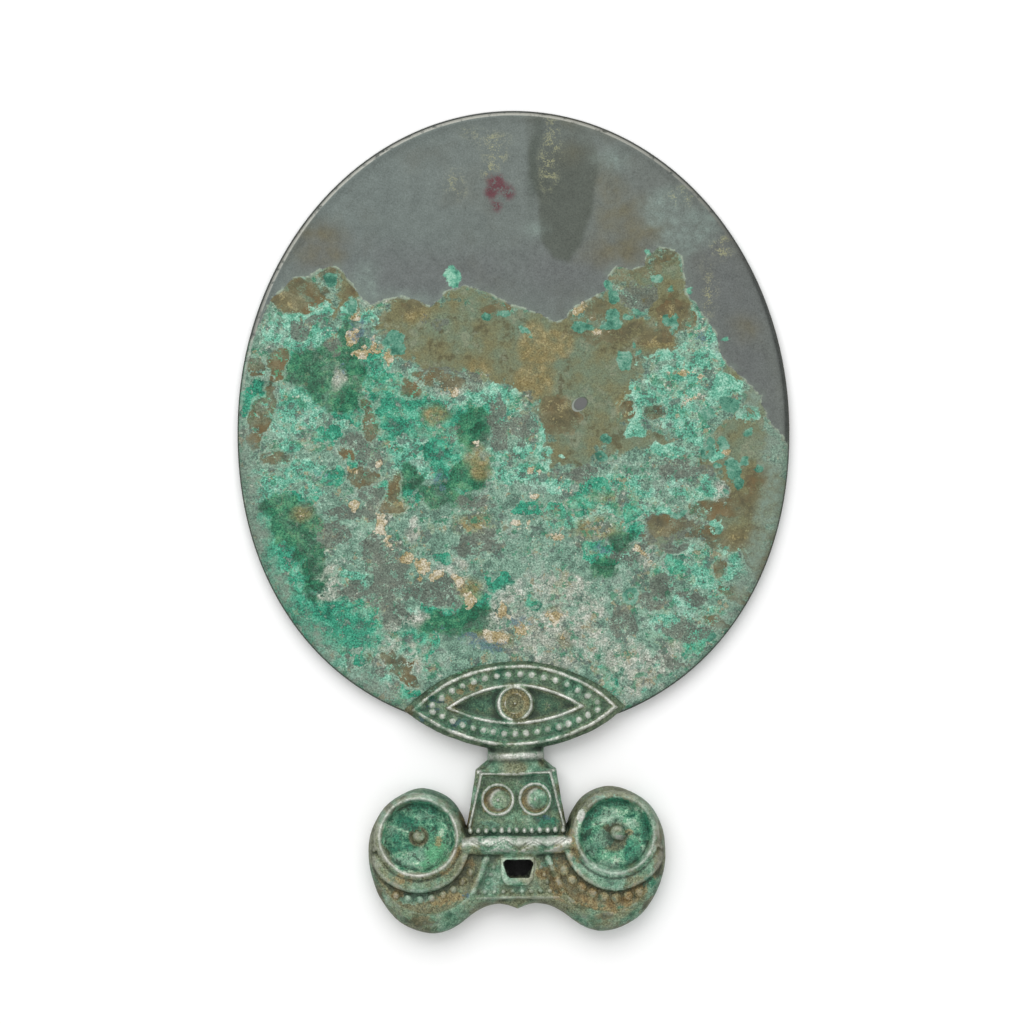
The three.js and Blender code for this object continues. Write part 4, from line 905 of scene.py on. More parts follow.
# %% Bead fields, collars and cups
CUP_PROFILE = [
    (0, 5.25), (0.8, 5.15), (1.4, 4.8), (1.8, 4.25), (2.2, 4.1), (2.8, 4.08), (3.2, 3.65), (6.2, 3.9),
    (8.9, 4.8), (9.7, 6.3), (10.1, 6.95), (10.5, 7.08), (10.9, 6.9), (11.4, 6.5), (12.2, 6.05),
    (13.2, 5.4), (14.2, 4.4), (15.2, 2.8),
]
LOBE_BEAD_REACH = 17.0
cup_grounds, bead_fields = np.zeros(U.shape, np.float32), np.zeros(U.shape, np.float32)
lobe_area, rim_shine = np.zeros(U.shape, np.float32), np.zeros(U.shape, np.float32)
for side in (-1, 1):
    mirror_u = side * U
    field = 14.6 - np.hypot(mirror_u - CUP_U + 2.45, V - CUP_V + 6.24)
    sunk = soft_step(-0.1, 0.3, field)
    body_top = body_top * (1 - sunk) + np.minimum(body_top, 4.15) * sunk
    from_cup = np.hypot(mirror_u - CUP_U, V - CUP_V)
    from_collar = np.hypot(mirror_u - CUP_U, V - CUP_V + 1.3)
    bearing = np.degrees(np.arctan2(V - CUP_V, mirror_u - CUP_U))
    below = soft_step(-6, -30, bearing) * soft_step(-178, -154, bearing)
    cup_top = np.interp(from_cup, *zip(*CUP_PROFILE))
    body_top = np.maximum(body_top, cup_top - edge_drop(body_depth, 3.0, 5.5) - 9 * (below > 0.5))
    collar_top = np.minimum(6.2, 6.4 - edge_drop(body_depth - 0.2, 4.4, 5.4))
    collar_top = collar_top - edge_drop(14.0 - from_collar, 0.8, 0.8)
    collar_top = collar_top - 0.4 * soft_step(0.6, 0.1, np.abs(from_cup - 11.9))
    on_collar = (from_collar < 14.0) * below
    body_top = body_top * (1 - on_collar) + np.maximum(body_top, collar_top) * on_collar
    body_top = np.where(from_cup < 11.8, np.maximum(body_top, cup_top), body_top)
    body_top = np.where(from_cup < 11.2, cup_top, body_top)
    size = 1.45 if side > 0 else 1.05
    places = []
    for k in range(8):
        angle = math.radians(-145 + 11 * k)
        right, up = LOBE_BEAD_REACH * math.cos(angle), LOBE_BEAD_REACH * math.sin(angle)
        places.append((side * (CUP_U + right), CUP_V + up))
    body_top = beads(body_top, places, size, 0.95, 4.1, 1.12)
    green_edge = from_cup + 1.3 * clouds(U, V, 7.0, 561 + side, 4)
    cup_grounds = np.maximum(cup_grounds, soft_step(9.9, 9.3, green_edge) * soft_step(2.3, 3.0, from_cup))
    open_field = sunk * soft_step(0.1, -0.3, 14.0 - from_collar) * soft_step(11.6, 12.0, from_cup)
    bead_fields = np.maximum(bead_fields, open_field * (1.0 if side > 0 else 0.6))
    lobe_area = np.maximum(lobe_area, soft_step(15.4, 14.4, from_cup))
    # A bright line along each cup rim's crest, the right one mostly on its lower right: partly worn metal,
    # partly painted highlight.
    lit = 0.9 if side < 0 else 0.25 + 0.6 * soft_step(50, 15, np.abs(bearing + 35))
    rim_shine = np.maximum(rim_shine, soft_step(0.42, 0.15, np.abs(from_cup - 10.5)) * lit)

# The right cup's boss is larger and sits off the middle, in a sunk ring, and its rim has lost a chip.
boss_away = np.hypot(U - CUP_U - 0.7, V - CUP_V - 0.3)
right_middle = soft_step(4.2, 3.2, np.hypot(U - CUP_U - 0.2, V - CUP_V))
body_top = body_top * (1 - right_middle) + right_middle * (3.35 + half_round(boss_away, 2.15, 1.75))
left_away = np.hypot(U + CUP_U, V - CUP_V)
# Dark brown rings round the bosses: brown ground round the left one; round the right one the ring widens
# toward the lower left, partly painted shadow of the boss.
boss_earth_and_shade = soft_step(3.1, 2.4, left_away) * soft_step(1.3, 1.9, left_away)
right_moat = soft_step(4.6, 3.4, np.hypot(U - CUP_U + 0.5, V - CUP_V + 0.8)) * soft_step(1.6, 2.3, boss_away)
boss_earth_and_shade = np.maximum(boss_earth_and_shade, right_moat)
chip = patch_depth(U, V, [(17.6, -28.9, 1.1, 2.3, -24)])
body_top = np.where(chip > -0.3, np.minimum(body_top, 6.35), body_top)
print("two cups, two collars and", 16, "lobe beads")

# %% The panel and its mouth
PANEL_FLOOR = 4.15
panel = outline_depth(U, V, [(12.85, -50.1), (9.95, -39.0), (-9.95, -39.0), (-12.85, -50.1)])
sunk = soft_step(-0.1, 0.3, panel)
body_top = body_top * (1 - sunk) + np.minimum(body_top, PANEL_FLOOR) * sunk
for side in (-1, 1):
    away = line_distance(side * U, V, [(8.35, -40.0), (12.35, -49.4)])
    body_top = ridge(body_top, away, 1.0, 0.85, PANEL_FLOOR)
away = line_distance(U, V, [(-11.2, -50.5), (11.2, -50.5)])
body_top = ridge(body_top, away, 0.4, 0.65, PANEL_FLOOR)
pad_half = [(2.9, -47.5), (4.3, -45.6), (4.7, -39.4)]
pad = outline_depth(U, V, pad_half + [(-u, v) for u, v in reversed(pad_half)])
body_top = np.where(pad > 0, np.maximum(body_top, 5.05 - edge_drop(pad, 0.4, 0.4)), body_top)
column = [(6.4 + 0.8 * k, -42.2 - 2.1 * k) for k in range(3)]
row = [(8.75 * (2 * k / 7 - 1), -48.8) for k in range(8)]
body_top = beads(body_top, column + [(-u, v) for u, v in column] + row, 0.78, 0.85, PANEL_FLOOR)
body_form = between(softened(body_top, 0.13), body_bottom, body_depth)
form = melted(form, body_form, 0.3)

nib = outline_depth(U, V, [(0, -53.6), (4.2, -52.0), (0, -49.0), (-4.2, -52.0)])
nib_form = between(3.4 - edge_drop(nib, 1.5, 1.5), -3.6 + edge_drop(nib, 1.5, 1.5), nib)
form = melted(form, nib_form, 0.9)

MOUTH_LEFT = [(-2.95, -40.05), (-3.95, -41.05), (-2.95, -44.35), (-1.95, -45.35)]
MOUTH_RIGHT = [(3.2, -45.35), (3.55, -44.35), (4.55, -41.05), (3.55, -40.05)]
mouth = outline_depth(U, V, MOUTH_RIGHT + MOUTH_LEFT)
hollow = np.minimum(5.5 - np.abs(U), np.minimum(V + 46.5, -39.0 - V))
opening = np.maximum(-mouth[..., None] + 0.12, 1.2 - Z)
blind = np.maximum(-hollow[..., None], np.abs(Z + 0.4) - 2.6)
form = np.maximum(form, -melted(opening, blind, 0.3))
print("panel:", 2 * len(column) + len(row), "beads")

# %% [markdown]
# ### Slot, resting flats and surface
#
# The slot is the disc's own shape with a little play. The plane that the mirror lies on has worn a small
# flat on the back of each lobe, so everything below that plane goes. Then the bronze gets its unevenness,
# which is part of the distance too: moving the surface out is the same as taking a little from the
# distance. The cups are more eaten than the rest. At last the zero surface of the whole block becomes a
# mesh.

# %% Cut the slot, roughen, and make the mesh
SLOT_PLAY = 0.3
LIP_PLAY = 0.17  # more play in front, for the disc's lip
X, Y = disc_place(true_u, true_v)
in_slot = -disc_depth(X, Y, SLOT_PLAY)[..., None]
under_slot, over_slot = -DISC["half_thick"] - SLOT_PLAY - Z, Z - DISC["half_thick"] - SLOT_PLAY - LIP_PLAY
slot = np.maximum(in_slot, np.maximum(under_slot, over_slot))
form = np.maximum(form, -slot)
height_over_rest = (Z * math.cos(tilt) - Y[..., None] * math.sin(tilt)) + lift
form = np.maximum(form, 0.02 - height_over_rest)

rough = 0.07 * clouds(U, V, 3.0, 611, 4, 0.6) + 0.06 * clouds(U, V, 13.0, 631, 3)
eaten = 0.22 * cup_grounds * clouds(U, V, 2.6, 641, 3, 0.6)
front_half = soft_step(-1.0, 1.0, Z)
back_rough = 0.06 * clouds(U, V, 6.0, 661, 5, 0.6)
form = form - front_half * (rough + eaten)[..., None] - (1 - front_half) * back_rough[..., None]
form = np.maximum(form, 0.02 - height_over_rest)

grid = openvdb.FloatGrid(1.0)
grid.copyFromArray(np.ascontiguousarray(form, dtype=np.float32))
points, quads = grid.convertToQuads(isovalue=0.0)
points = points.astype(np.float64) * CELL + [u_line[0], v_line[0], z_line[0]]
print("raw surface:", len(points), "points,", len(quads), "quads")
print("it spans", points.min(0).round(2), "to", points.max(0).round(2), "mm")

# %% [markdown]
# The raw surface has more faces than the relief needs. Collapsing edges takes them from the flat parts
# first, so the ridges keep theirs.

# %% Thin the mesh out
HANDLE_TRIANGLES = 190000
u, v, z = points.T
handle = piece_from("handle_cast", at_rest(*disc_place(u, v), z), [quads[:, ::-1]])
thin = handle.modifiers.new("thin", "DECIMATE")
thin.ratio = min(1.0, HANDLE_TRIANGLES / (2 * len(quads)))
thin.use_collapse_triangulate = True
thinned = bpy.data.meshes.new_from_object(handle.evaluated_get(bpy.context.evaluated_depsgraph_get()))
handle.modifiers.clear()
handle.data = thinned
print("handle:", len(thinned.vertices), "points,", triangle_count(thinned), "triangles")

# %% [markdown]
# ### Notes for the handle's finish
#
# Hands and time polish what stands proud. Wear, patina and painted shade are all read from the height of the
# front: where it is over its own blurred copy the bronze is worn bright and painted a little lighter, and
# where it is under it, it is painted darker, partly as dark patina in the hollows and partly as painted
# shade.
# The height comes from the block of points, as the highest place in each column that is still bronze.
# Patches are placed as on the disc, on the handle's drawing.

# %% Where the handle is worn, filled and stained
HANDLE_PATCHES = {
    "emerald": [
        (-25.9, -25.0, 4.4, 1.3), (-29.6, -29.8, 3.6, 1.7, -15), (-32.4, -34.2, 1.7, 2.2, 15),
        (-22.6, -26.0, 1.4, 1.9), (-32.7, -37.0, 1.9, 0.8), (-29.4, -36.5, 1.7, 1.0),
        (30.9, -38.5, 2.2, 3.1), (26.3, -24.8, 5.3, 1.5), (21.0, -27.8, 2.5, 1.4, 30),
        (34.8, -31.9, 1.3, 3.6), (19.3, -31.3, 1.0, 2.2), (35.5, -46.6, 1.7, 1.4),
        (27.6, -53.6, 0.8, 0.5), (-22.1, 3.6, 1.7, 0.6), (7.9, -29.8, 2.8, 1.4),
    ],
    "mint": [
        (-30.3, -40.1, 3.3, 1.5, -15), (-26.9, -38.7, 2.8, 1.7), (-33.2, -32.0, 1.7, 1.7),
        (-25.7, -27.9, 3.3, 1.4), (24.9, -28.9, 4.2, 1.9), (31.0, -31.2, 1.7, 2.2),
        (23.1, -35.0, 2.5, 2.2), (24.4, -43.6, 6.1, 2.2, -10), (20.0, -37.5, 1.9, 1.7),
        (27.1, -47.6, 3.1, 1.3), (-26.3, -50.1, 3.1, 1.7), (-30.4, -50.6, 1.7, 1.4),
        (36.3, -48.8, 1.1, 1.4), (-7.4, -30.7, 2.5, 1.0), (-23.2, 4.7, 0.8, 1.7, -40),
        (8.0, -41.5, 1.7, 1.1), (-7.1, -47.3, 1.7, 1.4),
    ],
    "bright_green": [
        (-21.6, -38.0, 3.2, 2.9), (-23.4, -41.3, 2.5, 1.3, 20), (-24.8, -25.4, 1.7, 1.1),
        (-14.2, 12.3, 1.7, 3.3, -45),
    ],
    "ochre": [
        (-21.3, -34.9, 1.3, 1.2), (-16.9, -39.1, 0.7, 2.6, -25), (-19.8, -43.5, 1.7, 0.8, 40),
        (-32.3, -45.3, 2.5, 1.0, -15), (-19.1, -50.5, 3.9, 1.3, 12), (-32.6, -48.9, 1.1, 1.4),
        (-13.1, -41.1, 1.7, 1.4), (-8.8, -24.3, 0.8, 3.1), (1.7, -24.4, 0.8, 2.9),
        (31.8, -47.9, 1.4, 1.3, 30), (22.8, -53.6, 5.6, 0.6, -8), (17.9, -51.0, 3.6, 0.7, -35),
        (25.1, -52.3, 1.3, 1.0), (14.8, -34.6, 0.6, 1.7, 10), (11.9, -43.5, 0.7, 0.7),
        (30.9, -33.2, 1.0, 0.7), (13.6, -41.3, 1.1, 1.1), (15.8, -38.8, 0.7, 1.9, 15),
        (20.7, -48.9, 1.7, 0.6, -30), (-14.6, 5.4, 1.1, 0.8), (-11.5, 6.5, 1.4, 0.8),
        (-17.7, 3.5, 1.1, 0.8), (-13.2, -29.5, 1.1, 1.7), (10.4, -47.3, 1.7, 3.3, 15),
        (7.2, -44.2, 1.7, 1.7), (17.4, -47.4, 2.5, 0.7, -40), (29.3, -51.5, 1.9, 1.9),
    ],
    "brown": [
        (-34.8, -25.5, 1.7, 1.4), (-14.8, -28.1, 1.0, 1.4), (-25.8, -56.2, 3.3, 1.7),
        (-37.9, -49.9, 1.7, 3.3, 20), (38.4, -37.7, 1.1, 5.6), (36.5, -53.0, 1.9, 3.1, -30),
        (22.8, -55.8, 1.9, 0.8), (38.0, -43.3, 1.1, 1.4), (-29.1, 0.0, 1.7, 1.7),
        (-9.0, -11.6, 1.1, 1.7), (31.1, -59.0, 3.3, 1.1, 10),
    ],
    "azurite": [
        (-21.0, 3.0, 1.7, 0.5), (-20.5, 0.2, 1.4, 0.8), (-23.3, -1.8, 1.4, 0.4), (-17.3, -4.2, 1.5, 0.8),
        (-14.7, -2.7, 0.8, 0.5), (-10.3, -6.1, 0.8, 0.5), (-23.0, 1.1, 1.1, 0.8), (7.7, -28.9, 1.7, 0.6),
        (-14.0, -50.0, 0.6, 0.6),
    ],
    "silver": [
        (17.4, -28.5, 1.1, 2.1, -15), (27.9, -34.7, 1.1, 0.7),
    ],
}
inside = form < 0
bronze = inside.any(axis=2)
topmost = len(z_line) - 1 - np.argmax(inside[:, :, ::-1], axis=2)
topmost = np.clip(topmost, 0, len(z_line) - 2)[..., None]
low, high = np.take_along_axis(form, topmost, 2)[..., 0], np.take_along_axis(form, topmost + 1, 2)[..., 0]
tall = np.where(bronze, z_line[topmost[..., 0]] + CELL * low / (low - high), 0)


def softened_inside(height, spread):
    """The height blurred, without counting the empty places outside the handle."""
    return softened(height * bronze, spread) / np.maximum(softened(bronze * 1.0, spread), 0.05)


near_height = softened_inside(tall, 0.16)
crest = (near_height - softened_inside(tall, 0.6)) * bronze
away_from_edge = soft_step(0.7, 0.98, softened(bronze * 1.0, 1.0))
proud = (near_height - softened_inside(tall, 1.2)) * bronze * away_from_edge
# The bar's upper half, toward the light, and the neck roll: partly rubbed silver, partly painted highlight.
on_bar = soft_step(1.5, 0.4, np.abs(V - BAR_V - 1.0)) * (np.abs(U) < 14.8)
rubbed_and_highlit = np.maximum(on_bar, soft_step(1.3, 0.3, np.abs(V - NECK_ROLL_V)) * (np.abs(U) < 7.6))
# Painted shade: how far a place lies below its broad surroundings, used to darken the hollows.
painted_hollow_shade = (softened_inside(tall, 3.5) - near_height) * bronze
# The eye plate's rounded edge outside the outer ridge, painted darker: partly dark patina, partly painted
# shade where the edge drops away.
bezel = soft_step(0.1, -0.3, eye_depth(U, V, OUTER_RIDGE)) * (plate_depth > -1)
band = soft_step(0.8, 1.4, eye_depth(U, V, OUTER_RIDGE)) * soft_step(0.0, -0.6, eye_depth(U, V, INNER_RIDGE))
block_field = soft_step(1.2, 2.0, block_depth) * (1 - moons)
painted_mouth_shade = soft_step(-0.1, 0.25, mouth)
plain = np.maximum(lobe_area, soft_step(BAR_V - 2.2, BAR_V - 3.2, V)) * (block_depth < 0.3) * (1 - on_bar)


def sampled(map_2d, u, v):
    """A map's values between its grid points."""
    column, row = (u - u_line[0]) / CELL, (v - v_line[0]) / CELL
    i = np.clip(column.astype(int), 0, U.shape[0] - 2)
    j = np.clip(row.astype(int), 0, U.shape[1] - 2)
    a, b = np.clip(column - i, 0, 1), np.clip(row - j, 0, 1)
    low = map_2d[i, j] * (1 - a) + map_2d[i + 1, j] * a
    return low * (1 - b) + (map_2d[i, j + 1] * (1 - a) + map_2d[i + 1, j + 1] * a) * b


def drawn_place(mesh):
    """Where a resting mesh's points are on the handle's drawing."""
    co = np.empty(3 * len(mesh.vertices))
    mesh.vertices.foreach_get("co", co)
    x, along, height = co.reshape(-1, 3).T / MM
    along, height = along - shift, height - lift
    y = along * math.cos(tilt) - height * math.sin(tilt)
    return *handle_place(x, y), along * math.sin(tilt) + height * math.cos(tilt)


u, v, z = drawn_place(handle.data)
facing = soft_step(0.0, 1.2, z)
maps = {
    "crest": crest,
    "proud": proud,
    "rubbed_and_highlit": rubbed_and_highlit,
    "painted_hollow_shade": painted_hollow_shade,
    "cups": np.maximum(cup_grounds, np.maximum(0.5 * band, 0.35 * block_field)),
    "fields": bead_fields,
    "lens": lens * (plate_depth > 0),
    "bezel": bezel,
    "polish": 1 - 0.7 * plain,
    "rim_and_bead_shine": np.maximum(rim_shine, 0.8 * bead_shine),
    "boss_rings_earth_and_shade": boss_earth_and_shade,
    "moons": moons,
    "moon_edges": moon_edges,
}
notes = {name: sampled(values, u, v) * facing for name, values in maps.items()}
# Painted shade: the inside of the mouth, below the panel's floor, is marked for near-black.
notes["mouth"] = sampled(painted_mouth_shade, u, v) * soft_step(PANEL_FLOOR + 0.4, PANEL_FLOOR - 0.4, z) * (z > -4)
near_u, near_v = u + 0.35 * clouds(u, v, 3.0, 701, 4), v + 0.35 * clouds(u, v, 3.0, 709, 4)
for k, (name, rows) in enumerate(HANDLE_PATCHES.items()):
    ragged = 0.15 if name == "silver" else 0.55
    depth = np.clip(patch_depth(near_u, near_v, rows), -2, 1.2)
    depth = depth + ragged * clouds(u, v, 2.2, 721 + 11 * k, 4, 0.6)
    notes[name] = np.where(z > 0.5, depth, -2)
notes["drift"] = 0.5 + 0.5 * clouds(u, v + 0.7 * z, 14.0, 811, 5, 0.6)
for name, values in notes.items():
    note_on(handle.data, name, values)
print("proud runs from", *np.round([notes["proud"].min(), notes["proud"].max()], 2), "mm")

# %% [markdown]
# ## Finishes as sums
#
# A finish is a tree of nodes, and a tree is hard to read. Here a socket is wrapped so that ordinary
# arithmetic makes the nodes: `1 - mask` adds a Math node. Colours are laid over each other with `under`, as
# a painter would say it, and any other node comes from `node`.

# %% One small class for node maths
class Wire:
    def __init__(self, tree, socket=None):
        self.tree, self.socket = tree, socket

    def node(self, kind, settings=None, sockets=None, out=0):
        """A node of any kind: its settings, then the values or wires of its sockets. Gives one output."""
        made = self.tree.nodes.new(kind)
        for name, value in (settings or {}).items():
            setattr(made, name, value)
        for name, value in (sockets or {}).items():
            if isinstance(value, Wire):
                self.tree.links.new(value.socket, made.inputs[name])
            else:
                made.inputs[name].default_value = value
        return Wire(self.tree, made.outputs[out] if made.outputs else None)

    def sum(self, operation, *values):
        return self.node("ShaderNodeMath", {"operation": operation}, dict(enumerate(values)))

    def __add__(self, other):
        return self.sum("ADD", self, other)

    __radd__ = __add__

    def __mul__(self, other):
        return self.sum("MULTIPLY", self, other)

    def __sub__(self, other):
        return self.sum("SUBTRACT", self, other)

    def __rsub__(self, other):
        return self.sum("SUBTRACT", other, self)

    def step(self, low, high):
        """0 below `low`, 1 above `high`, and a soft run between."""
        settings = {"interpolation_type": "SMOOTHSTEP"}
        return self.node("ShaderNodeMapRange", settings, {"Value": self, "From Min": low, "From Max": high})

    def blend(self, first, second):
        """From one colour to another, by this share."""
        return self.node("ShaderNodeMix", {"data_type": "RGBA"}, {0: self, 6: first, 7: second}, out=2)

    def under(self, colour, share):
        """This colour with another laid over it, as far as `share` says."""
        return self.node("ShaderNodeMix", {"data_type": "RGBA"}, {0: share, 6: self, 7: colour}, out=2)

    def shaded(self, brightness):
        """This colour made darker or lighter."""
        grey = self.node("ShaderNodeCombineColor", None, {0: brightness, 1: brightness, 2: brightness})
        settings = {"data_type": "RGBA", "blend_type": "MULTIPLY"}
        return self.node("ShaderNodeMix", settings, {0: 1.0, 6: self, 7: grey}, out=2)

    def note(self, name):
        return self.node("ShaderNodeAttribute", {"attribute_name": name}, out=2)

    def grain(self, size, seed=0.0, detail=4.0, rough=0.6):
        """Noise whose largest swell is `size` millimetres, about 0.5 in the middle."""
        place = self.node("ShaderNodeTexCoord", out=3)
        offset = (seed, seed * 0.7, -seed)
        moved = self.node("ShaderNodeVectorMath", {"operation": "ADD"}, {0: place, 1: offset})
        sockets = {"Vector": moved, "Scale": 1 / (size * MM), "Detail": detail, "Roughness": rough}
        return self.node("ShaderNodeTexNoise", None, sockets)


EXPOSURE = 1.42


def paint(red, green, blue):
    """A colour as 0 to 255 on a screen, as the light that a finish sends back."""
    light = [c / 255 for c in (red, green, blue)]
    linear = [c / 12.92 if c <= 0.04045 else ((c + 0.055) / 1.055) ** 2.4 for c in light]
    return (*[c / EXPOSURE for c in linear], 1.0)


def new_finish(name):
    material = bpy.data.materials.new(name)
    material.use_nodes = True
    material.node_tree.nodes.clear()
    return material, Wire(material.node_tree)


def finish_with(wire, colour, roughness, metallic, height, depth_mm):
    """The bronze's shader, with its colour, gloss and fine relief."""
    bump = wire.node("ShaderNodeBump", None, {"Strength": 1.0, "Distance": depth_mm * MM, "Height": height})
    sockets = {"Base Color": colour, "Roughness": roughness, "Metallic": metallic, "Normal": bump}
    sockets["Specular IOR Level"] = 0.3
    shader = wire.node("ShaderNodeBsdfPrincipled", None, sockets)
    wire.node("ShaderNodeOutputMaterial", None, {"Surface": shader})


# %% [markdown]
# ### The disc's finish
#
# Where the mirror is still metal it is a smooth, tin-rich bronze gone slate grey. Everything else lies over
# it in order: oxides, green carbonates, pale salts. Each layer's depth gets finer noise than its mesh can
# hold, so its edge is crisp and grainy, and each has a second and third tone broken through it.

# %% Grain, clumps and mottled tones
def uneven(wire, seed):
    """Three sizes of unevenness: grains, clumps of them, and slow clouds."""
    fine = wire.grain(0.45, seed, 2.0, 0.8) - 0.5
    clumps = wire.grain(2.2, seed + 0.23, 4.0, 0.6) - 0.5
    slow = wire.grain(7.0, seed + 0.51, 5.0, 0.6) - 0.5
    return fine, clumps, slow


def mottled(swing, dark, main, pale):
    """A tone that swings between three colours: dark at 0, the main one at 0.5 and pale at 1."""
    return swing.step(0.0, 0.55).blend(paint(*dark), paint(*main)).under(paint(*pale), swing.step(0.5, 1.05))


def laid_over(base, depth, tones, swing, soft=0.15, gaps=1.0):
    """One layer over another where its depth is over 0, in its own mottled tone. Gives the new colour too."""
    mask = depth.step(-soft, soft) * gaps
    return base.under(mottled(swing, *tones), mask), mask


# %% The disc's metal
disc_finish, w = new_finish("disc_patina")
fine, clumps, slow = uneven(w, 0.11)
other_fine, other_clumps, other_slow = uneven(w, 0.83)
swing = fine * 1.6 + clumps * 2.4 + slow * 2.0 + 0.5
other_swing = other_fine * 1.6 + other_clumps * 2.4 + other_slow * 2.0 + 0.5
drift = w.note("drift")

metal = w.note("cool").blend(paint(112, 118, 113), paint(115, 125, 121))
metal = metal.under(paint(108, 112, 111), w.note("violet") * 0.7)
metal = metal.under(paint(104, 106, 97), (drift + slow).step(0.5, 1.0) * 0.35)
metal = metal.under(paint(114, 108, 82), w.note("tint") * (0.6 + slow * 2))
metal = metal.under(paint(90, 96, 88), w.note("shade") * 0.95)
metal = metal.under(paint(80, 88, 80), w.note("streak") * 0.6)
metal = metal.under(paint(128, 142, 135), w.note("halo") * (0.7 + clumps * 2))
speckled = fine * 2 + clumps * 2 + 0.5
metal = metal.under(paint(160, 160, 122), w.note("flecks") * speckled.step(0.55, 0.85) * 0.8)
metal = metal.under(paint(100, 54, 62), w.note("red") * speckled.step(0.25, 0.6) * 0.9)
metal = metal.shaded(0.79 + fine * 0.9 + other_fine * 0.6 + clumps * 0.35 + other_slow * 0.3)

# %% The disc's crusts, from the bottom up
ragged = fine * 0.6 + clumps * 2.6 + slow * 3.5
other_ragged = other_fine * 0.6 + other_clumps * 2.6 + other_slow * 3.5
calm = fine * 0.9 + clumps * 1.8 + slow * 2.0
crust = mottled(swing, (94, 126, 110), (124, 163, 142), (164, 194, 174))
khaki = (w.note("khaki") + clumps * 1.6 + slow * 1.6).step(0.3, 0.62)
smooth_coat = (drift + other_slow * 2).step(0.1, 0.9).blend(paint(128, 126, 90), paint(118, 136, 112))
smooth_coat = smooth_coat.under(paint(94, 90, 62), (other_clumps * 2.5 + slow * 3).step(0.1, 0.6) * 0.75)
worn_thin = (clumps * 3 + other_slow * 3 - 0.1).step(0.1, 0.5)
smooth_coat = smooth_coat.under(paint(146, 152, 126), worn_thin * 0.6)
crust = crust.under(smooth_coat, khaki)
holes = (clumps * 2.5 + other_slow * 1.5 + fine + 0.5).step(0.12, 0.24)
other_holes = (other_clumps * 2.5 + slow * 1.5 + other_fine + 0.5).step(0.1, 0.2)
EMERALD = (30, 108, 86), (58, 160, 128), (116, 200, 168)
DEEP = (22, 80, 54), (40, 114, 80), (88, 154, 108)
MINT = (68, 142, 118), (108, 184, 156), (170, 220, 196)
CHALK = (144, 156, 142), (180, 185, 170), (226, 226, 214)
PALE_LINE = paint(164, 190, 168)
mint_depth, emerald_depth = w.note("mint") + ragged, w.note("emerald") + other_ragged + 0.5
crust, pale = laid_over(crust, mint_depth, MINT, swing, 0.12, holes)
mint_line = mint_depth.step(-0.2, 0.05) * (1 - mint_depth.step(0.15, 0.5))
crust = crust.under(PALE_LINE, mint_line * other_holes * 0.45)
crust, green = laid_over(crust, emerald_depth, EMERALD, other_swing, 0.12, other_holes)
emerald_line = emerald_depth.step(-0.55, -0.25) * (1 - emerald_depth.step(-0.1, 0.1))
crust = crust.under(PALE_LINE, emerald_line * holes * 0.5)
crust, dark_green = laid_over(crust, w.note("deep") + ragged * 0.8 + 0.8, DEEP, other_swing, 0.7, 0.86)
open_ground = (1 - khaki) * (1 - dark_green * 0.85) * (1 - green * 0.5)
ochre_tone = mottled(other_swing, (124, 108, 62), (146, 132, 86), (168, 158, 116))
crust = crust.under(ochre_tone, w.note("ochre") * (0.75 + other_clumps * 2))
chalk_depth = w.note("chalk") + other_ragged + 0.5
crust, _ = laid_over(crust, chalk_depth, CHALK, swing, 1.2, other_swing.step(-0.1, 0.6) * 0.9)

mossy = (other_slow * 3 + clumps * 2 + 0.5).step(0.62, 1.0) * open_ground
crust = crust.under(paint(136, 148, 108), mossy * 0.5)
dusty = (slow * 3 - other_clumps * 2 + 0.5).step(0.66, 1.05) * open_ground
crust = crust.under(paint(138, 150, 140), dusty * 0.5)

GROWTHS = [
    (1.17, 2.8, (58, 138, 104), 0.6),
    (2.31, 3.4, (148, 186, 162), 0.59),
    (3.43, 2.2, (162, 152, 120), 0.625),
    (4.59, 3.0, (96, 112, 104), 0.6),
    (5.71, 1.1, (208, 214, 196), 0.65),
]
for seed, size, tone, level in GROWTHS:
    grown = (w.grain(size, seed, 5.0, 0.6) + other_slow * 0.35).step(level - 0.012, level + 0.012)
    crust = crust.under(paint(*tone), grown * open_ground * 0.72)

BROWN = (88, 86, 64), (114, 108, 78), (136, 132, 102)
SLATE = (94, 102, 92), (112, 120, 108), (132, 144, 130)
crumbs = 1 - (other_clumps * 3 + other_fine * 2 + 0.5).step(0.72, 0.82)
brown_depth, bare_depth = w.note("brown") + calm, w.note("bare") + other_ragged * 0.7
crust, _ = laid_over(crust, bare_depth, SLATE, other_swing, 0.2, crumbs * 0.85)
outline = brown_depth.step(-0.9, -0.4) * (1 - brown_depth.step(-0.1, 0.1)) * other_holes
crust = crust.under(PALE_LINE, outline * (1 - khaki) * 0.5)
rusty = other_slow * 2.5 + clumps * 1.5 + 0.5
crust, oxide = laid_over(crust, brown_depth, BROWN, rusty, 0.25, crumbs * (0.85 + slow * 2))
crust = crust.under(paint(126, 102, 64), oxide * (slow * 4 + 0.3).step(0.3, 1.0) * 0.5)
SPOTS = (52, 114, 94), (94, 156, 132), (144, 188, 166)
SAND = (146, 122, 78), (180, 164, 120), (220, 212, 190)
AZURITE = (56, 78, 100), (80, 108, 124), (110, 146, 148)
crust, grit = laid_over(crust, w.note("sand") + ragged * 1.8 - 0.7, SAND, swing, 0.12, other_holes * 0.95)
sparse = (other_clumps * 3 + fine * 2 + 0.5).step(0.5, 0.7)
crust, _ = laid_over(crust, w.note("azurite") + ragged, AZURITE, other_swing, 0.3, sparse * 0.8)
pores = (other_fine + other_clumps * 0.5).step(0.13, 0.2) * (1 - khaki) * 0.28
crust = crust.under(paint(132, 152, 136), w.note("veil") * (0.75 + clumps * 2.5))
grainy = (1 - khaki * 0.3) * (1 - oxide * 0.4)
crust = crust.shaded(1.0 + (fine * 2.0 + other_fine * 1.4) * grainy - pores)

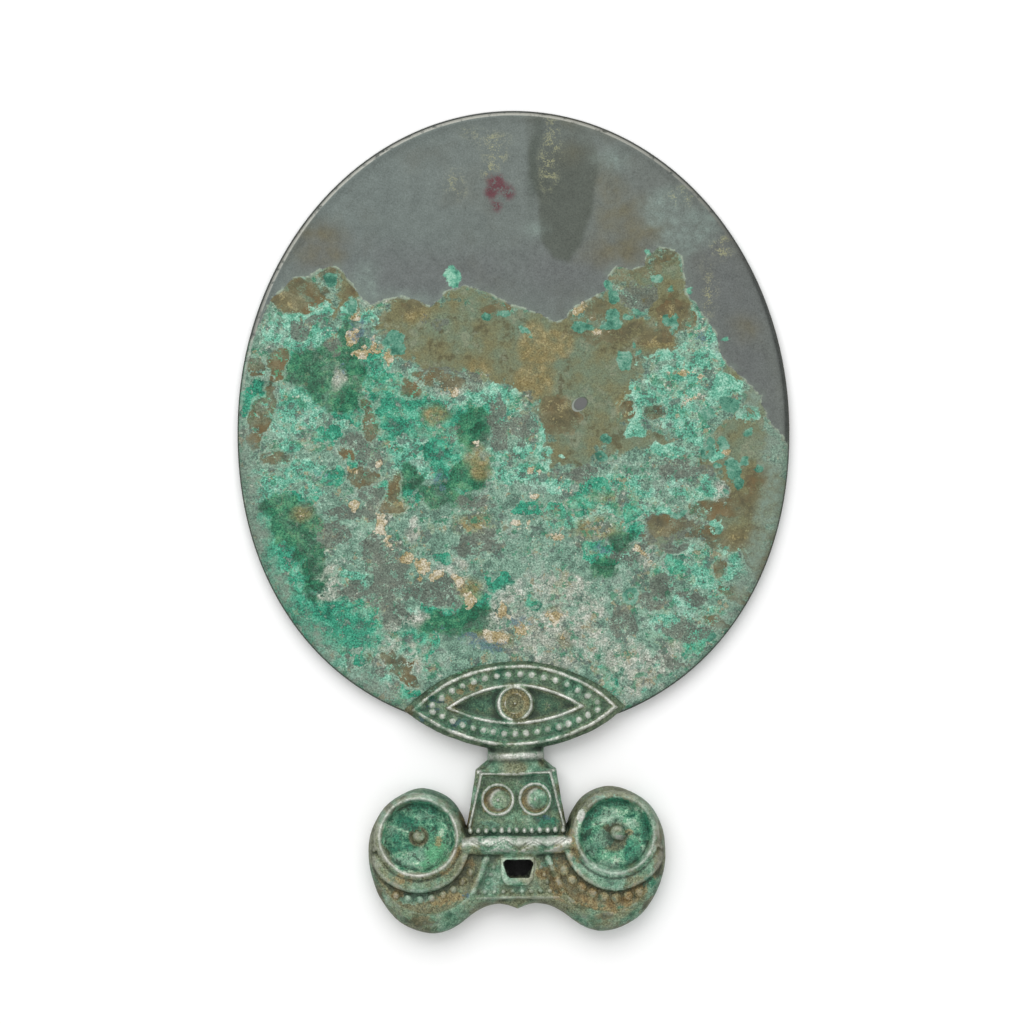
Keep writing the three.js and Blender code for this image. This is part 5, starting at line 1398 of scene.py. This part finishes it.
# %% The border between them, the rim and the shader
border = w.note("corroded") + calm * 0.6
eaten = border.step(-0.12, 0.12)
fringe = border.step(-2.4, -0.2) * (1 - eaten)
metal = metal.under(paint(110, 120, 112), fringe * (0.3 + other_clumps * 3))
rim_line = border.step(-0.5, -0.1) * (1 - border.step(0.05, 0.5))
colour = metal.under(crust, eaten)
colour, _ = laid_over(colour, w.note("spots") + calm, SPOTS, other_swing, 0.15)
colour = colour.under(paint(158, 172, 152), rim_line * (other_clumps * 4 + 0.45).step(0.1, 0.8) * 0.8)
mark = w.note("mark")
mark_core = w.note("mark_core")
colour = colour.under(paint(160, 168, 160), mark.step(-0.1, 0.1) * 0.9)
colour = colour.under(paint(70, 74, 66), mark_core.step(-0.35, -0.1) * 0.7)
colour = colour.under(paint(112, 113, 112), mark_core.step(-0.05, 0.15))
edge = w.note("inside")
# Painted shade: the colour darkens within about 2.6 mm of the edge, where the rounded rim turns away from the
# light.
colour = colour.shaded(1.0 - (1 - edge.step(1.2, 2.6)) * 0.16)
# Painted highlight: a pale line along the crest of the rim's lip, on the upper side that faces the light.
crown_line = edge.step(0.45, 0.7) * (1 - edge.step(1.0, 1.5)) * w.note("crown")
colour = colour.under(paint(206, 206, 196), crown_line * (clumps * 3 + 0.7).step(0.1, 0.7) * 0.8)
# Painted shade: a dark line along the outermost edge, where the rim turns down out of the light.
colour = colour.under(paint(54, 56, 46), (1 - edge.step(0.25, 0.55)) * 0.85)
crust_height = clumps + fine * 0.5 + pale * 0.3 + green * 0.25 + grit * 0.4 + outline * 0.3
relief_height = eaten * crust_height + fine * 0.05
finish_with(w, colour, 0.44 + eaten * 0.3 + fine * 0.3, (1 - eaten) * 0.7, relief_height, 0.16)
disc.data.materials.append(disc_finish)

# %% [markdown]
# ### The handle's finish
#
# The handle was never polished like the disc. It is olive and grey-green all over, dark green or filled with
# brown earth where it is deep, with painted shade in its hollows, and rubbed to silver along its ridges, with
# painted highlights on the bead tops, the cup rims, the neck roll and the bar's upper half.

# %% The handle's finish
handle_finish, w = new_finish("handle_patina")
fine, clumps, slow = uneven(w, 0.37)
other_fine, other_clumps, other_slow = uneven(w, 0.59)
swing = fine * 1.6 + clumps * 2.6 + slow * 1.4 + 0.5
other_swing = other_fine * 1.6 + other_clumps * 2.6 + other_slow * 1.4 + 0.5
ragged = fine * 1.6 + clumps * 4.0 + slow * 3.0
other_ragged = other_fine * 1.6 + other_clumps * 4.0 + other_slow * 3.0
proud, painted_hollow_shade, drift = w.note("proud"), w.note("painted_hollow_shade"), w.note("drift")
cups, fields, lens_ground = w.note("cups"), w.note("fields"), w.note("lens")

olive = mottled(swing, (86, 92, 66), (126, 132, 102), (160, 166, 138))
grey_green = mottled(other_swing, (66, 110, 86), (108, 148, 122), (152, 182, 158))
body = (drift + slow * 1.5).step(0.32, 0.74).blend(olive, grey_green)
polish = w.note("polish")
earth_tone = mottled(swing, (108, 94, 60), (146, 134, 96), (176, 170, 132))
body = body.under(earth_tone, fields * (other_clumps * 3 + 0.85).step(0.2, 0.8) * 0.9)
cup_tone = mottled(other_swing, (28, 98, 76), (104, 166, 132), (196, 222, 194))
body = body.under(cup_tone, cups * 0.95)
# Brown round the bosses, partly ground colour and partly painted shadow.
moat_tone = mottled(swing, (58, 58, 40), (98, 94, 68), (130, 128, 100))
body = body.under(moat_tone, w.note("boss_rings_earth_and_shade") * (other_clumps * 3 + 0.8).step(0.1, 0.6) * 0.9)
body = body.under(mottled(swing, (118, 104, 66), (156, 142, 100), (182, 172, 134)), w.note("moons") * 0.9)
body = body.under(mottled(swing, (30, 62, 46), (58, 98, 74), (104, 120, 86)), lens_ground * 0.9)
# Darker green on the eye plate's dropping edge: partly patina, partly painted shade.
body = body.under(mottled(other_swing, (44, 66, 50), (82, 106, 82), (124, 138, 110)), w.note("bezel") * 0.85)

# Each stain: its patches and their edge, its three tones and their swing, its softness and its strength.
sparse = (other_clumps * 3 + fine * 2 + 0.5).step(0.4, 0.6)
HANDLE_STAINS = [
    ("mint", ragged, ((92, 140, 116), (124, 164, 140), (164, 192, 170)), other_swing, 0.35, 0.85),
    ("bright_green", ragged, ((64, 132, 92), (88, 158, 114), (124, 186, 146)), swing, 0.6, 0.8),
    ("emerald", other_ragged, ((18, 76, 60), (44, 124, 96), (104, 164, 134)), swing, 0.3, 0.9),
    ("brown", ragged, ((80, 76, 52), (108, 100, 72), (130, 124, 94)), other_swing, 0.4, 0.8),
    ("ochre", other_ragged, ((116, 94, 58), (148, 128, 84), (176, 160, 116)), swing, 0.4, 0.75),
    ("azurite", ragged, ((38, 62, 84), (60, 92, 112), (96, 130, 140)), swing, 0.3, sparse),
]
stained = {}
for name, edge_noise, tones, tone_swing, soft, strength in HANDLE_STAINS:
    body, stained[name] = laid_over(body, w.note(name) + edge_noise, tones, tone_swing, soft, strength)
dark_specks = (clumps * 3 + other_fine * 2 + 0.5).step(0.72, 0.86) * (cups * 0.3 + 0.55)
body = body.under(paint(40, 64, 50), dark_specks)
# Near-black green where the surface lies below its blurred copy: partly dark patina in the hollows, partly
# painted shade around beads and ridges.
deep = (proud * -1 + other_clumps * 0.25).step(0.05, 0.4)
hollow_patina_and_shade = deep * (1 - stained["ochre"] * 0.6) * (1 - fields * 0.2)
hollow_patina_and_shade = hollow_patina_and_shade * (1 - cups * 0.5) * (polish * 0.2 + 0.65)
body = body.under(paint(34, 50, 38), hollow_patina_and_shade)
# Painted shade and light: darker in broad hollows, lighter where the surface stands over its blurred copy and
# darker where it lies under it; the cups are lifted a little.
form_light = 1.14 - painted_hollow_shade.step(0.2, 2.0) * 0.2 + cups * 0.16 + proud * 0.35
body = body.shaded(form_light + fine * 2.2 + other_fine * 1.3)
# Silver laid on the crests as wear, joined below by the painted highlights on the beads, the cup rims, the
# bar and the neck roll.
worn_and_highlit = (w.note("crest") + clumps * 0.5 + other_slow * 0.4 + other_fine * 0.2).step(0.08, 0.28) * polish
rim_and_bead_shine = w.note("rim_and_bead_shine") * (clumps * 3 + other_fine + 0.9).step(0.2, 0.8)
moon_edges = w.note("moon_edges") * (other_clumps * 3 + 0.8).step(0.1, 0.8) * 0.7
worn_and_highlit = worn_and_highlit + (1 - worn_and_highlit) * (rim_and_bead_shine + moon_edges)
# Silver on the bar's upper half and the neck roll: partly wear, partly painted highlight.
rubbed_and_highlit = w.note("rubbed_and_highlit") * (clumps * 3 + other_fine * 2 + 0.8).step(0.1, 0.7) * 0.95
worn_and_highlit = worn_and_highlit + rubbed_and_highlit - worn_and_highlit * rubbed_and_highlit
silver = (w.note("silver") + ragged * 0.3).step(-0.1, 0.1)
bright = worn_and_highlit * 0.9 + silver - worn_and_highlit * silver * 0.9
body = body.under(mottled(other_swing, (152, 164, 148), (202, 206, 196), (238, 238, 230)), bright)
# Painted shade: near-black laid inside the mouth.
body = body.under(paint(10, 12, 10), w.note("mouth"))
gloss = bright * (1 - cups)
surface_height = clumps * 1.2 + fine * 0.6 + other_clumps * 0.6
finish_with(w, body, 0.58 - gloss * 0.24 + fine * 0.3, 0.15 + gloss * 0.5, surface_height, 0.22)
handle.data.materials.append(handle_finish)
print("finishes:", disc_finish.name, handle_finish.name)

# %% [markdown]
# ## Attach the pieces
#
# Both castings ride on the one body, and each stands for its imported solid, which is hidden.

# %% Ride and replace
for piece, node, slot_name in ((disc, "mirror_disc", "disc_bronze"), (handle, "handle", "handle_bronze")):
    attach(piece, "root")
    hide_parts(node)

# %% [markdown]
# ## Table, light and camera
#
# A catalogue view looks straight down on a white table. A large soft light stands beyond the far edge and a
# little to the left, so every ridge across the handle shines on its far side and the shadow falls towards
# the viewer. A dome fills the rest. The lens is long and far away, so the mirror shows its true outline.

# %% The table
stage_mesh = bpy.data.meshes.new("table")
corners = [(-3, -3, -0.0002), (3, -3, -0.0002), (3, 3, -0.0002), (-3, 3, -0.0002)]
stage_mesh.from_pydata(corners, [], [(0, 1, 2, 3)])
table = bpy.data.objects.new("table", stage_mesh)
bpy.context.scene.collection.objects.link(table)
table_finish, w = new_finish("white_table")
paper = w.grain(40.0).step(0.3, 0.7).blend((0.9, 0.9, 0.9, 1), (0.915, 0.915, 0.915, 1))
finish_with(w, paper, 0.9, 0.0, w.grain(1.0), 0.01)
stage_mesh.materials.append(table_finish)


# %% Lights and camera
def soft_light(name, size, power, azimuth, elevation, distance):
    """An area light that looks at the mirror. Azimuth 0 is beyond the far edge and 90 at the right."""
    lamp = bpy.data.lights.new(name, "AREA")
    lamp.shape, lamp.size, lamp.size_y, lamp.energy = "RECTANGLE", size[0], size[1], power
    a, e = math.radians(azimuth), math.radians(elevation)
    held = bpy.data.objects.new(name, lamp)
    level = distance * math.cos(e)
    held.location = (level * math.sin(a), level * math.cos(a), distance * math.sin(e))
    held.rotation_euler = (math.pi / 2 - e, 0, math.pi - a)
    bpy.context.scene.collection.objects.link(held)


soft_light("far_window", (1.3, 0.8), 8.3, -14, 57, 1.2)
soft_light("top_softbox", (1.6, 1.6), 10.0, 0, 89, 1.8)
dome = bpy.data.worlds.new("dome")
dome.use_nodes = True
dome.node_tree.nodes["Background"].inputs["Color"].default_value = (1, 1, 1, 1)
dome.node_tree.nodes["Background"].inputs["Strength"].default_value = 0.6
bpy.context.scene.world = dome
bpy.context.scene.view_settings.view_transform = "Standard"

FIELD = 278.8
DISTANCE = 1.6
camera_lens = bpy.data.cameras.new("camera")
camera_lens.lens = camera_lens.sensor_width * DISTANCE / (FIELD * MM)
camera_lens.clip_end = 20
camera = bpy.data.objects.new("camera", camera_lens)
camera.location = (-0.0004, 0.00255, DISTANCE)
bpy.context.scene.collection.objects.link(camera)
bpy.context.scene.camera = camera
print("lens:", round(camera_lens.lens, 1), "mm, from", DISTANCE, "m")
